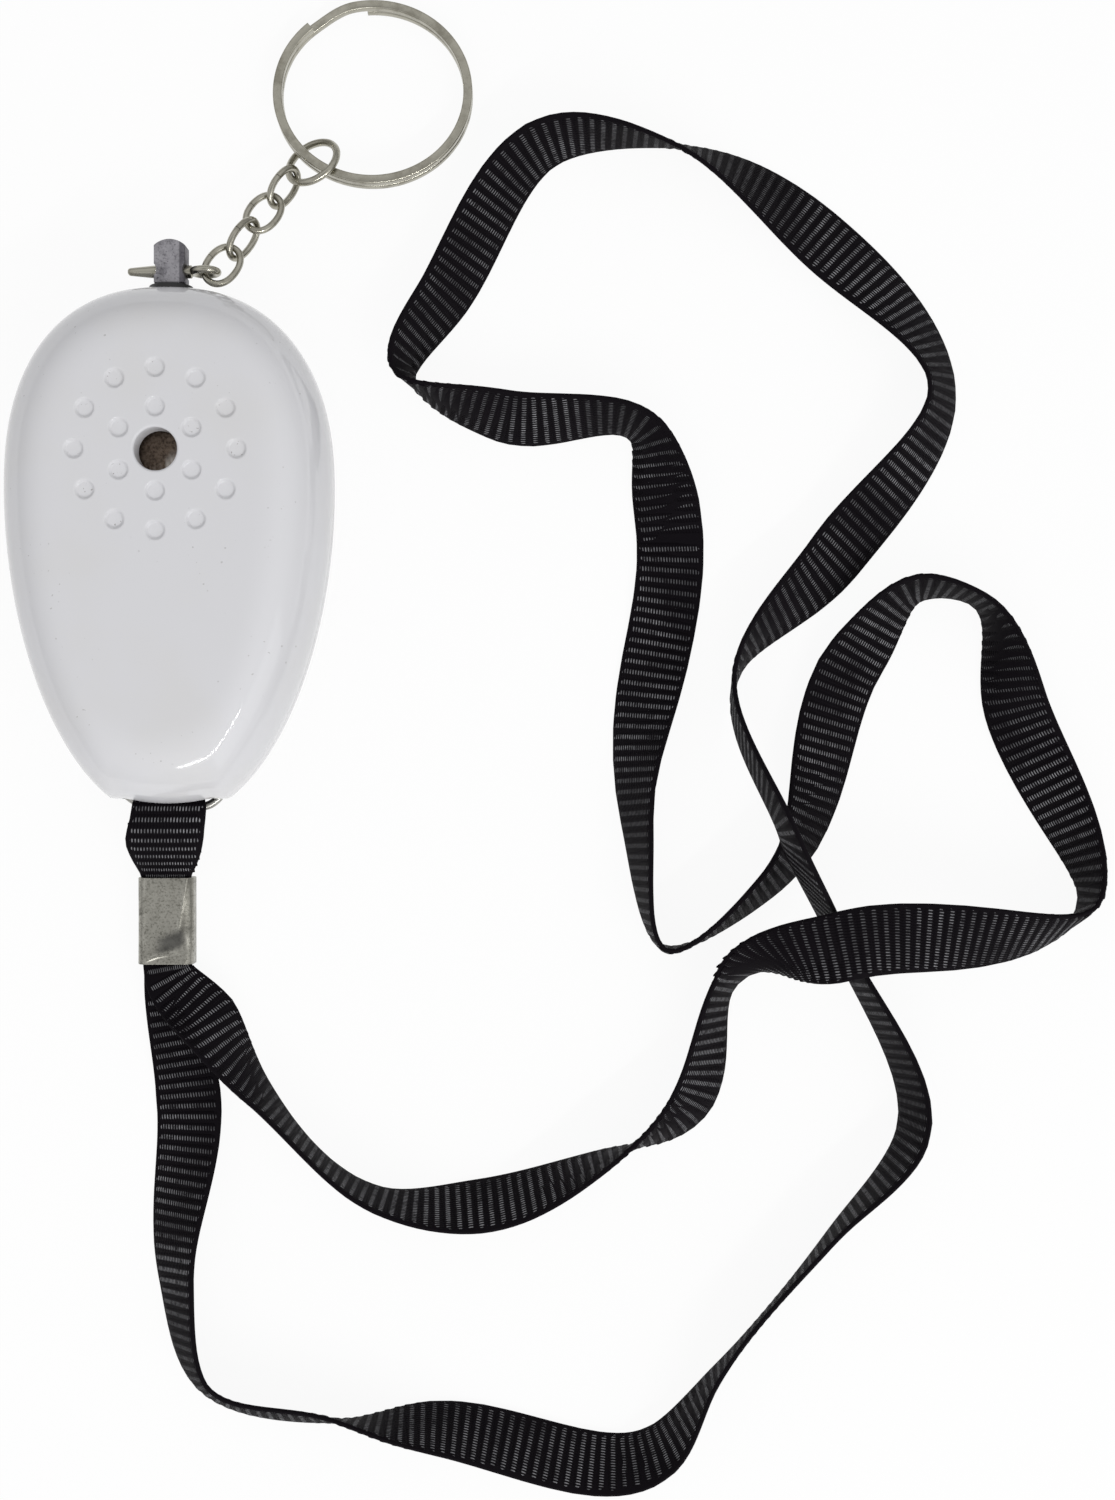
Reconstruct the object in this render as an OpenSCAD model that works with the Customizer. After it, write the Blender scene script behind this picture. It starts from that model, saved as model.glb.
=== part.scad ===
// Personal safety alarm: an egg-shaped casing with a pull pin, chain and key ring at one end
// and a webbing lanyard at the other. Millimetres. The casing lies on its back: +Z comes out of
// the front, +Y points to the pull pin, and the origin is the middle of the back face.

/* [Casing] */
// Length of the casing along Y
case_len = 74.2; // [72:0.2:80]
// Greatest width of the casing
case_w = 47; // [45:0.5:52]
// Depth of the casing from back to front
case_depth = 22; // [21.5:0.5:25]
// Height of the joint between the two shells
split_z = 10; // [9.6:0.1:10.6]
// Wall of the two shells
wall = 2; // [1.6:0.1:2.2]
// How far above the middle the casing is widest
wide_y = 8; // [5:0.5:10]
// How far the outline's own point would reach past the flat bottom end
end_over = 2.4; // [1.5:0.1:3.5]
// Width of the soft edge round the front
front_edge = 10; // [8:0.5:11]
// Width of the soft edge round the back
back_edge = 8; // [6:0.5:9]
// Height of the lip that centres the front shell in the back shell
lip_h = 1.2; // [0.8:0.1:1.6]
// Clearance between pieces that fit together
fit_gap = 0.1; // [0.05:0.01:0.15]

/* [Sounder] */
// Distance of the sound hole above the middle of the casing
sound_y = 12.5; // [11:0.5:14]
// Diameter of the sound hole
sound_d = 6; // [4:0.1:7]
// Depth of the collar round the sound hole
collar_h = 4; // [3:0.1:4.4]
// Diameter of one dimple
dimple_d = 2.8; // [2:0.1:3.4]
// Depth of one dimple
dimple_h = 0.5; // [0.3:0.05:0.8]
// Radius of the inner ring of dimples
dimple_ring_1 = 5.85; // [5.4:0.05:6.4]
// Radius of the outer ring of dimples
dimple_ring_2 = 11.3; // [10:0.1:11.6]
// Diameter of the sounder's metal plate
piezo_d = 27; // [24:0.5:28]
// Thickness of the sounder's metal plate
piezo_t = 0.3; // [0.2:0.05:0.5]
// Diameter of the ceramic on the plate
ceramic_d = 20; // [16:0.5:22]
// Thickness of the gasket under the plate's rim
gasket_t = 0.5; // [0.3:0.05:0.8]

/* [Pull pin] */
// Width of the pin's head
head_w = 4.9; // [4.4:0.1:6]
// Thickness of the pin's head
head_t = 3.6; // [3.4:0.1:5]
// Length of the pin's head outside the socket
head_len = 6.4; // [5.5:0.1:8]
// Diameter of the pin's round shank
shank_d = 3.4; // [3:0.1:3.4]
// Length of the shank in the socket
shank_len = 9.6; // [8:0.1:10]
// Diameter of the insulating tip
tip_d = 1.6; // [1.2:0.1:1.8]
// Length of the insulating tip
tip_len = 3.8; // [3.4:0.1:4]
// Outside diameter of the socket bush
socket_d = 6.6; // [6:0.1:7.4]
// How far the socket's rim stands out of the casing
socket_rim = 0.7; // [0.5:0.1:1]
// Diameter of the cotter pin
cotter_d = 1.8; // [1.4:0.1:2]
// Length of the cotter pin's leg beyond the head
cotter_out = 4; // [3:0.1:5]
// Outside diameter of the cotter pin's eye
eye_d = 4.8; // [4.6:0.1:5.4]

/* [Chain and rings] */
// Outside length of one chain link
link_len = 7.5; // [7.4:0.05:8.4]
// Outside width of one chain link
link_w = 5.2; // [5:0.1:5.8]
// Wire of the chain links
link_wire = 1; // [0.8:0.05:1.05]
// Slack between two links
link_play = 0.2; // [0.15:0.05:0.4]
// Outside diameter of the jump ring
jump_d = 9; // [8.6:0.1:10]
// Wire of the jump ring
jump_wire = 1.1; // [0.9:0.05:1.2]
// Outside diameter of the split key ring
key_d = 29.5; // [28:0.5:32]
// Height of the slightly oval key ring over its width
key_oval = 0.95; // [0.92:0.01:1]
// Width of the key ring's wire, measured across the ring
key_wire_w = 1.35; // [1.1:0.05:1.5]
// Height of one turn of the key ring's wire
key_wire_h = 1.25; // [1:0.05:1.35]

/* [Lanyard] */
// Width of the strap
strap_w = 10; // [8:0.5:10]
// Thickness of the strap
strap_t = 0.9; // [0.7:0.05:1]
// Diameter of the bail's wire
bail_d = 1.2; // [1:0.1:1.4]
// Width of the slot in the bottom end of the casing
slot_w = 13.2; // [12.4:0.1:13.6]
// Width of the crimp
crimp_w = 8.2; // [7.6:0.1:9]
// Length of the crimp
crimp_len = 12.8; // [11:0.1:14]
// Thickness of the crimp
crimp_t = 4.6; // [4.4:0.1:5]
// Sheet that the crimp is folded from
crimp_sheet = 0.5; // [0.4:0.05:0.6]

/* [Inside] */
// Diameter of the battery
cell_d = 10.3; // [9:0.1:10.5]
// Length of the battery
cell_len = 28.5; // [26:0.1:29]
// Width of the circuit board
board_w = 27; // [24:0.5:27]
// Length of the circuit board
board_len = 24; // [23:0.5:25]
// Thickness of the circuit board
board_t = 1.2; // [0.8:0.1:1.6]
// Diameter of the casing screws
screw_d = 2.2; // [2:0.1:2.6]

/* [Hidden] */

$fn = 48;
cut = 1;
running = 0.05;
touch = 0.01;

// Colours
white_plastic = [0.86, 0.86, 0.87];
black_plastic = [0.06, 0.06, 0.06];
nickel = [0.62, 0.6, 0.55];
zinc_grey = [0.5, 0.5, 0.53];
brass_tone = [0.72, 0.56, 0.26];
webbing_black = [0.05, 0.05, 0.055];

// Egg outline of the casing
ring_n = 56;
egg_top = [0.85, 0.85];
egg_low = [1, 1.05];
edge_full = 2.3;
edge_steps = 8;
half_w = case_w / 2;
top_b = case_len / 2 - wide_y;
low_b = case_len / 2 + wide_y + end_over;
top_y = case_len / 2;
low_y = -case_len / 2;
front_h = case_depth - split_z;

function spow(v, p) = sign(v) * pow(abs(v), p);
function egg_ring(inset, z) = [
    for (i = [0:ring_n - 1])
        let (
            a = 360 * (i + 0.5) / ring_n,
            upper = sin(a) >= 0,
            p = upper ? egg_top : egg_low,
            b = upper ? top_b : low_b
        )
        [
            (half_w - inset) * spow(cos(a), p[0]),
            max(wide_y + (b - inset) * spow(sin(a), p[1]), low_y + inset),
            z
        ]
];

// One quarter of a soft edge: pairs of inset and rise, from the side wall to the flat face
function soft_edge(inset, width, rise) = [
    for (k = [0:edge_steps])
        let (a = 90 * k / edge_steps)
        [inset + width * (1 - pow(cos(a), 2 / edge_full)), rise * pow(sin(a), 2 / edge_full)]
];
function edge_inset(rise) = 1 - pow(1 - pow(rise, edge_full), 1 / edge_full);
function edge_rise(inset) = pow(1 - pow(1 - min(1, max(0, inset)), edge_full), 1 / edge_full);
function reversed(list) = [for (i = [len(list) - 1:-1:0]) list[i]];

// Closed surface through rings with the same number of points. On a twisted band both broad faces
// are split along the same diagonal, so that they stay apart
function ring_faces(rings, n, band) = concat(
    [[for (i = [0:n - 1]) i]],
    [
        for (k = [0:rings - 2], i = [0:n - 1], second = [false, true])
            let (a = k * n + i, b = k * n + (i + 1) % n, turned = band && i >= n / 2)
            turned ? (second ? [b, a + n, b + n] : [a, a + n, b]) :
            second ? [a, b + n, b] : [a, a + n, b + n]
    ],
    [[for (i = [n - 1:-1:0]) (rings - 1) * n + i]]
);
module through_rings(rings, band = false) {
    polyhedron([for (r = rings) each r], ring_faces(len(rings), len(rings[0]), band), convexity = 6);
}

// Shells: one profile runs over the inside, round the rim and over the outside
groove = wall / 2;
lip_out = groove + fit_gap;
front_profile = concat(
    [for (p = reversed(soft_edge(wall, front_edge - wall / 2, front_h - wall))) [p[0], split_z + p[1]]],
    [[wall, split_z - lip_h], [lip_out, split_z - lip_h], [lip_out, split_z]],
    [for (p = soft_edge(0, front_edge, front_h)) [p[0], split_z + p[1]]]
);
back_profile = concat(
    [for (p = reversed(soft_edge(0, back_edge, split_z))) [p[0], split_z - p[1]]],
    [[groove, split_z], [groove, split_z - lip_h - fit_gap], [wall, split_z - lip_h - fit_gap]],
    [for (p = soft_edge(wall, back_edge - wall / 2, split_z - wall)) if (p[1] > lip_h + 2 * fit_gap) [p[0], split_z - p[1]]]
);
module egg_shell(profile) {
    through_rings([for (p = profile) egg_ring(p[0], p[1])]);
}

// The form half a wall inside the skin, which the posts are kept within
skin = wall / 2;
front_core = [for (p = soft_edge(skin, front_edge - skin / 2, front_h - skin)) [p[0], split_z + p[1]]];
back_core = [for (p = reversed(soft_edge(skin, back_edge - skin / 2, split_z - skin))) [p[0], split_z - p[1]]];

// Height of the back shell's curved wall over a point, a given depth into the wall
function back_wall_z(x, y, depth) =
    let (
        span = sqrt(1 - pow((wide_y - y) / (low_b - back_edge), 2 / egg_low[1])),
        inset = half_w - x / span
    )
    split_z - (split_z - depth) * edge_rise((inset - depth) / (back_edge - depth / 2));

// Screw places, on the casing's own outline
boss_d = screw_d + 2.4;
post_d = boss_d + 1.4;
boss_side = [half_w - 7, 18];
boss_low_y = -25;
screw_at = [[-boss_side[0], boss_side[1]], boss_side, [0, boss_low_y]];
screw_head_d = screw_d * 1.9;
screw_head_h = 1.4;
screw_sink = 1.8;
screw_len = 13;

// Sounder stack, from the front wall down
seat_t = 1.7;
seat_z = case_depth - wall - 2.6;
gasket_z = seat_z - gasket_t;
plate_z = gasket_z - piezo_t;
ceramic_t = 0.25;
ceramic_z = plate_z - ceramic_t;

// Pin, socket and cotter pin, all on the joint between the shells
socket_y = top_y + socket_rim;
shank_end = socket_y - shank_len;
tip_end = shank_end - tip_len;
socket_len = shank_len - 0.6;
socket_flange_d = socket_d + 1.2;
hole_y = socket_y + 2;
hole_d = cotter_d + 2 * fit_gap;
head_top = socket_y + head_len;
eye_wire = 1.3;
eye_r = (eye_d - eye_wire) / 2;
eye_x = head_w / 2 + eye_d / 2 + 0.05;

// Chain, descending from the eye to the table
chain_yaw = 57;
chain_fall = 18;
chain_dir = [cos(chain_fall) * cos(chain_yaw), cos(chain_fall) * sin(chain_yaw), -sin(chain_fall)];
chain_pitch = link_len - 2 * link_wire - link_play;
chain_start = [eye_x + 2.35, hole_y + 1.15, split_z - 0.75];
link_rolls = [4, 62, -2, 58];
function link_at(k) = chain_start + k * chain_pitch * chain_dir;
link_end = link_len / 2 - link_wire - link_play - jump_wire / 2 - 0.1;
jump_yaw = 37;
jump_tilt = -38;
jump_r = (jump_d - jump_wire) / 2;
jump_at = link_at(3) + link_end * chain_dir + jump_r * [cos(jump_yaw), sin(jump_yaw), -0.05];
key_yaw = 51;
key_r = (key_d - key_wire_w) / 2;
key_gap = 0.15;
key_h = 2 * key_wire_h + key_gap;
key_side = key_r * key_oval * sin(key_yaw);
key_tilt = asin((jump_at[2] - key_h / 2) / (key_d / 2 * key_oval + key_side));
key_split = 94;
key_at = [
    jump_at[0] + key_r * cos(key_yaw),
    jump_at[1] + key_side * cos(key_tilt) - key_h / 2 * sin(key_tilt),
    key_d / 2 * key_oval * sin(key_tilt)
];

// Bail, crimp and lanyard
bail_y = low_y - 1.6;
bail_bend = 4.2;
bail_bar = 7.2;
bail_leg = 5;
bail_x = bail_bar / 2 + bail_bend;
bail_turn_y = bail_y + bail_bend;
bend_steps = 8;
function bail_run(leg) = concat(
    [[-bail_x, bail_turn_y + leg, split_z]],
    [
        for (k = [0:bend_steps]) let (a = 180 + 90 * k / bend_steps)
            [-bail_bar / 2 + bail_bend * cos(a), bail_turn_y + bail_bend * sin(a), split_z]
    ],
    [
        for (k = [0:bend_steps]) let (a = 270 + 90 * k / bend_steps)
            [bail_bar / 2 + bail_bend * cos(a), bail_turn_y + bail_bend * sin(a), split_z]
    ],
    [[bail_x, bail_turn_y + leg, split_z]]
);
bail_sides = 14;
ear_d = bail_d + 2;
ear_y = bail_turn_y + 4.2;
slot_h = 5.6;
slot_deep = 2.6;
crimp_x = -2;
crimp_z = 2.6;
crimp_top = bail_y - 9.4;
crimp_low = crimp_top - crimp_len;
tail_w = crimp_w - 2 * crimp_sheet - 2 * fit_gap;
tail_t = crimp_t - 2 * crimp_sheet - 2 * fit_gap;
loop_w = strap_w + 1.2;
loop_x = -0.6;
loop_rise = 1.1;
ply = strap_t / 2 + 0.05;

// Strap route, one row a point: x, y, roll of the strap about its run, height of its low edge
strap_route = [
    [1, -83, 10, 0],
    [-0.5, -107, 50, 0],
    [3.5, -123, 66, 0],
    [23.5, -128, 72, 0],
    [37, -129, 118, 0],
    [71, -132.5, 120, 0],
    [79, -121.5, 87, 0],
    [96, -101, 85, 0],
    [108, -86, 106, 0],
    [97.5, -58, 98, 0],
    [88.5, -41, 99, 10.6],
    [82, -18, 82, 0],
    [97, -0.5, 28, 0],
    [112.5, 24, 58, 0],
    [95.5, 46, 18, 0],
    [73.5, 59.5, 74, 0],
    [55, 60.5, 118, 0],
    [39.5, 38.5, 135, 0],
    [33, 26.5, 106, 0],
    [47.5, 20, 50, 0],
    [69, 17.5, 65, 0],
    [72, 7, 14, 0],
    [67.5, -40, 66, 0],
    [71.5, -58.5, 88, 0],
    [88, -48, 62, 0],
    [100.5, -15, 24, 0],
    [109, -5.5, 70, 0],
    [117.5, -7, 87, 0],
    [124, -24, 30, 0],
    [134, -52, 90, 0],
    [96.5, -57, 180, 15.8],
    [80.5, -63.5, 114, 0],
    [75, -82, 133, 0],
    [62, -90, 82, 0],
    [44.5, -96.5, 52, 0],
    [29.5, -95.5, 82, 0],
    [12.5, -80.5, 80, 0],
    [5, -69.5, 40, 2.4]
];
strap_steps = 3;
strap_points = concat(
    [[crimp_x, crimp_low, crimp_z - ply - strap_t / 2, 0]],
    [for (p = strap_route) [p[0], p[1], p[3], p[2]]],
    [[crimp_x, crimp_low, crimp_z + ply - strap_t / 2, 0]]
);

function place(p) = [p[0], p[1], p[2]];
function unit(v) = v / norm(v);
function gap_at(p, i) = norm(place(p[i + 1] - p[i]));
function slope_at(p, i) =
    i == 0 ? [0, -1, 0, 0] :
    i == len(p) - 1 ? [0, 1, 0, 0] :
    let (
        a = gap_at(p, i - 1),
        b = gap_at(p, i),
        s = ((p[i] - p[i - 1]) * b / a + (p[i + 1] - p[i]) * a / b) / (a + b)
    )
    [s[0], s[1], 0, s[3]];
function between(p, i, s) =
    let (d = gap_at(p, i))
    (2 * s ^ 3 - 3 * s ^ 2 + 1) * p[i] + (s ^ 3 - 2 * s ^ 2 + s) * d * slope_at(p, i)
    + (3 * s ^ 2 - 2 * s ^ 3) * p[i + 1] + (s ^ 3 - s ^ 2) * d * slope_at(p, i + 1);
function smooth_run(p, steps) = concat(
    [for (i = [0:len(p) - 2], k = [0:steps - 1]) between(p, i, k / steps)],
    [p[len(p) - 1]]
);
// The strap's low edge lies at its lift, whatever its roll
function lifted_run(p) = [
    for (r = p) [r[0], r[1], r[2] + (strap_w * abs(sin(r[3])) + strap_t * abs(cos(r[3]))) / 2, r[3]]
];
function run_dir(p, i) =
    i == 0 ? [0, -1, 0] :
    i == len(p) - 1 ? [0, 1, 0] :
    unit(place(p[i + 1] - p[i - 1]));

// Cross-section of the strap: a flat bar with blunt edges
function strap_section(w) =
    let (u = w / 2, v = strap_t / 2, e = strap_t / 4)
    [[u, -e], [u, e], [u - e, v], [e - u, v], [-u, e], [-u, -e], [e - u, -v], [u - e, -v]];
function strap_ring(p, i) =
    let (
        t = run_dir(p, i),
        n = unit(cross([0, 0, 1], t)),
        b = cross(t, n),
        a = p[i][3],
        across = n * cos(a) + b * sin(a),
        out = b * cos(a) - n * sin(a),
        w = i == 0 || i == len(p) - 1 ? tail_w : strap_w
    )
    [for (s = strap_section(w)) place(p[i]) + across * s[0] + out * s[1]];

// Round wire through a few points, for the leads
function wire_ring(p, i, d, sides, ref) =
    let (
        a = i == 0 ? p[0] : p[i - 1],
        b = i == len(p) - 1 ? p[i] : p[i + 1],
        t = unit(b - a),
        n = unit(cross(ref, t)),
        m = cross(t, n)
    )
    [for (k = [0:sides - 1]) p[i] + d / 2 * (n * cos(360 * k / sides) + m * sin(360 * k / sides))];
module wire(points, d, sides = 8, ref = [0.35, 1, 0.2]) {
    through_rings([for (i = [0:len(points) - 1]) wire_ring(points, i, d, sides, ref)]);
}

// Board, cell and switch
board_back = 8.4;
board_y = tip_end - board_back;
board_z = 6;
board_top = board_z + board_t;
board_low = board_y - board_len / 2;
board_clear = 0.3;
board_inset = wall + (back_edge - wall / 2) * edge_inset((split_z - board_z) / (split_z - wall)) + board_clear;
board_screw_d = 1.5;
board_screw_head = 3.6;
board_screw_at = [[-8.5, board_y - 7.5], [board_w / 2 - 3.5, board_y + 6]];
board_post_d = board_screw_head + 1.4;
chip_at = [-5, board_y - 2];
coil_at = [6, board_y - 3];
transistor_at = [7 - boss_side[0], board_y + 3];
capacitor_at = [0, board_y + 3.5];
cell_y = -10;
cell_z = wall + 0.8 + cell_d / 2;
cradle_x = 8;
cradle_t = 1.6;
contact_t = 0.4;
contact_w = 7;
contact_bump = 0.3;
contact_top = cell_z + 4;
contact_x = cell_len / 2 + contact_bump + running;
contact_foot = cell_y - contact_w / 2;
contact_low = max(wall + 0.8, back_wall_z(contact_x + contact_t + fit_gap, contact_foot, wall));
slot_rib = 1.2;
rib_out = contact_x + contact_t + fit_gap + slot_rib;
rib_low = max(wall / 2, back_wall_z(rib_out, contact_foot, wall / 2));
rib_top = cell_z + 1;
leaf_t = 0.3;
leaf_w = 2;
leaf_y = tip_end + 0.3 + leaf_w / 2;
leaf_gap = 0.3;
leaf_z = split_z + tip_d / 2 + leaf_gap;
leaf_from = -10.5;
leaf_to = 2.2;
post_top = split_z - tip_d / 2 - leaf_gap;
lead_d = 0.9;

module oval_link(length, width, thick) {
    straight = length - width;
    r = (width - thick) / 2;
    for (side = [-1, 1]) {
        translate([side * straight / 2, 0, 0]) rotate(-90 * side) rotate_extrude(angle = 180)
            translate([r, 0]) circle(d = thick);
        translate([-straight / 2, side * r, 0]) rotate([0, 90, 0]) cylinder(d = thick, h = straight);
    }
}

module dimple_marks() {
    for (ring = [[dimple_ring_1, 6], [dimple_ring_2, 12]])
        for (k = [0:ring[1] - 1])
            translate([0, sound_y, case_depth - dimple_h]) rotate(90 + 360 * k / ring[1])
                translate([ring[0], 0, 0]) cylinder(d1 = dimple_d - dimple_h, d2 = dimple_d + dimple_h, h = 2 * dimple_h);
}

// Cuts that both shells share along their joint
module joint_cuts() {
    translate([0, top_y + cut, split_z]) rotate([90, 0, 0]) cylinder(d = socket_d, h = socket_len);
    wire(bail_run(bail_leg + fit_gap), bail_d + 2 * fit_gap, bail_sides, [0, 0, 1]);
    translate([-slot_w / 2, low_y - cut, split_z - slot_h / 2]) cube([slot_w, slot_deep + cut, slot_h]);
}

module socket_rib(low, high) {
    translate([-socket_d / 2 - 1.5, shank_end + 2, low]) cube([socket_d + 3, 2, high - low]);
}

module front_shell() {
    color(white_plastic) difference() {
        union() {
            egg_shell(front_profile);
            translate([0, sound_y, case_depth - collar_h]) cylinder(d = sound_d + 3, h = collar_h - wall / 2);
            translate([0, sound_y, seat_z]) difference() {
                cylinder(d = piezo_d - 0.4, h = case_depth - wall / 2 - seat_z);
                translate([0, 0, -cut]) cylinder(d = piezo_d - 0.4 - 2 * seat_t, h = case_depth);
            }
            intersection() {
                union() {
                    for (p = screw_at) translate([p[0], p[1], split_z]) cylinder(d = boss_d, h = front_h - wall * 0.9);
                    for (side = [-1, 1]) translate([side * bail_x, ear_y, split_z]) cylinder(d = ear_d, h = front_h * 0.7);
                }
                egg_shell(front_core);
            }
        }
        translate([0, sound_y, seat_z - cut]) cylinder(d = sound_d, h = case_depth);
        dimple_marks();
        for (p = screw_at) translate([p[0], p[1], split_z - cut])
            cylinder(d = screw_d + 2 * running, h = screw_len - screw_sink - split_z + 2 + cut + 4);
        joint_cuts();
    }
}

module back_shell() {
    color(white_plastic) difference() {
        union() {
            egg_shell(back_profile);
            intersection() {
                for (p = screw_at) translate([p[0], p[1], skin / 2]) cylinder(d = post_d, h = split_z - skin / 2);
                egg_shell(back_core);
            }
            for (p = board_screw_at) translate([p[0], p[1], wall / 2]) cylinder(d = board_post_d, h = board_z - wall / 2);
            for (side = [-1, 1]) {
                translate([side * bail_x, ear_y, split_z * 0.23]) cylinder(d = ear_d, h = split_z * 0.77);
                translate([side * cradle_x - cradle_t / 2, cell_y - cell_d / 2 - 0.6, wall / 2])
                    cube([cradle_t, cell_d + 1.2, cell_z - wall / 2]);
                translate([side * (rib_out - slot_rib / 2) - slot_rib / 2, contact_foot, rib_low])
                    cube([slot_rib, contact_w, rib_top - rib_low]);
            }
        }
        translate([-cell_len / 2, cell_y, cell_z]) rotate([0, 90, 0]) cylinder(d = cell_d + 2 * running, h = cell_len);
        for (p = screw_at) translate([p[0], p[1], 0]) {
            translate([0, 0, -cut]) cylinder(d = screw_d + 2 * fit_gap, h = split_z + 2 * cut);
            translate([0, 0, -cut]) cylinder(d = screw_head_d + 2 * fit_gap, h = screw_sink + cut);
        }
        for (p = board_screw_at) translate([p[0], p[1], wall]) cylinder(d = board_screw_d + 2 * running, h = board_z);
        joint_cuts();
    }
}

module round_screw(d, length, head_d, head_h) {
    difference() {
        rotate_extrude() polygon([
            [0, 0], [head_d / 2 - 0.3, 0], [head_d / 2, 0.4], [head_d / 2, head_h],
            [d / 2, head_h], [d / 2, length - 0.6], [d / 4, length], [0, length]
        ]);
        for (turn = [0, 90]) rotate(turn) translate([-head_d * 0.32, -0.25, -cut]) cube([head_d * 0.64, 0.5, cut + 0.7]);
    }
}

module case_screws() {
    color(nickel) for (p = screw_at) translate([p[0], p[1], screw_sink - screw_head_h])
        round_screw(screw_d, screw_len, screw_head_d, screw_head_h);
}

module pin_socket() {
    color(black_plastic) translate([0, socket_y, split_z]) rotate([90, 0, 0]) difference() {
        union() {
            cylinder(d = socket_flange_d, h = socket_rim);
            cylinder(d = socket_d - 2 * running, h = socket_len);
        }
        translate([0, 0, -cut]) cylinder(d = shank_d + 2 * running, h = socket_len + 2 * cut);
    }
}

module pull_pin() {
    crown = 0.9;
    crown_r = (head_w * head_w / 4 + crown * crown) / (2 * crown);
    color(zinc_grey) difference() {
        union() {
            translate([0, 0, split_z - head_t / 2]) linear_extrude(head_t) difference() {
                intersection() {
                    translate([-head_w / 2, socket_y]) square([head_w, head_len]);
                    translate([0, head_top - crown_r]) circle(crown_r);
                }
                for (side = [-1, 1]) translate([side * (head_w / 2 + 0.9), hole_y]) circle(d = 2.9);
            }
            translate([0, socket_y + touch, split_z]) rotate([90, 0, 0]) cylinder(d = shank_d, h = shank_len + touch);
        }
        translate([-head_w, hole_y, split_z]) rotate([0, 90, 0]) cylinder(d = hole_d, h = 2 * head_w);
    }
}

module pin_tip() {
    color(black_plastic) translate([0, shank_end, split_z]) rotate([90, 0, 0]) rotate_extrude()
        polygon([[0, 0], [tip_d / 2, 0], [tip_d / 2, tip_len - 0.4], [tip_d / 4, tip_len], [0, tip_len]]);
}

module cotter_pin() {
    leg_from = -head_w / 2 - cotter_out;
    split = 0.16;
    color(nickel) translate([0, hole_y, split_z]) {
        difference() {
            union() {
                translate([leg_from, 0, 0]) rotate([0, 90, 0]) rotate_extrude() polygon([
                    [0, 0], [cotter_d * 0.28, 0], [cotter_d * 0.42, 0.5], [cotter_d / 2, 2],
                    [cotter_d / 2, eye_x - eye_r - leg_from], [0, eye_x - eye_r - leg_from]
                ]);
                translate([eye_x, 0, 0]) rotate([90, 0, 0]) rotate_extrude() translate([eye_r, 0]) circle(d = eye_wire);
            }
            translate([leg_from - cut, -cotter_d, -split / 2]) cube([eye_x - eye_r - leg_from + cut, 2 * cotter_d, split]);
        }
    }
}

module chain_link(k) {
    color(nickel) translate(link_at(k)) rotate([link_rolls[k], chain_fall, chain_yaw])
        oval_link(link_len, link_w, link_wire);
}
module chain_link_1() { chain_link(0); }
module chain_link_2() { chain_link(1); }
module chain_link_3() { chain_link(2); }
module chain_link_4() { chain_link(3); }

module jump_ring() {
    color(nickel) translate(jump_at) rotate([jump_tilt, 0, jump_yaw]) rotate_extrude()
        translate([jump_r, 0]) circle(d = jump_wire);
}

// Split ring: a flat turn, a short climb, and a second flat turn on top of the first
function key_rise(a) =
    let (s = min(1, max(0, (a - 326) / 26)))
    (3 * s ^ 2 - 2 * s ^ 3) * (key_wire_h + key_gap);
function key_section(a) =
    let (u = key_wire_w / 2, v = key_wire_h / 2, e = 0.3, z = v + key_rise(a), turn = key_split - a)
    [
        for (s = [[u - e, -v], [e - u, -v], [-u, e - v], [-u, v - e], [e - u, v], [u - e, v], [u, v - e], [u, e - v]])
            [(key_r + s[0]) * cos(turn), (key_r + s[0]) * key_oval * sin(turn), z + s[1]]
    ];
module key_ring() {
    step = 7.5;
    color(nickel) translate(key_at) rotate([-key_tilt, 0, 0])
        through_rings([for (a = [0:step:682.5]) key_section(a)]);
}

module bail_wire() {
    color(nickel) wire(bail_run(bail_leg), bail_d, bail_sides, [0, 0, 1]);
}

module crimp_outline(w, t, r) {
    hull() for (x = [-1, 1], y = [-1, 1]) translate([x * (w / 2 - r), y * (t / 2 - r)]) circle(r);
}

module lanyard_crimp() {
    seam = 0.25;
    fold_r = 1.4;
    color(nickel) translate([crimp_x, crimp_top, crimp_z]) rotate([90, 0, 0]) linear_extrude(crimp_len) difference() {
        crimp_outline(crimp_w, crimp_t, fold_r);
        crimp_outline(crimp_w - 2 * crimp_sheet, crimp_t - 2 * crimp_sheet, fold_r - crimp_sheet);
        translate([crimp_w * 0.2, -crimp_t]) square([seam, crimp_t]);
    }
}

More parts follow.
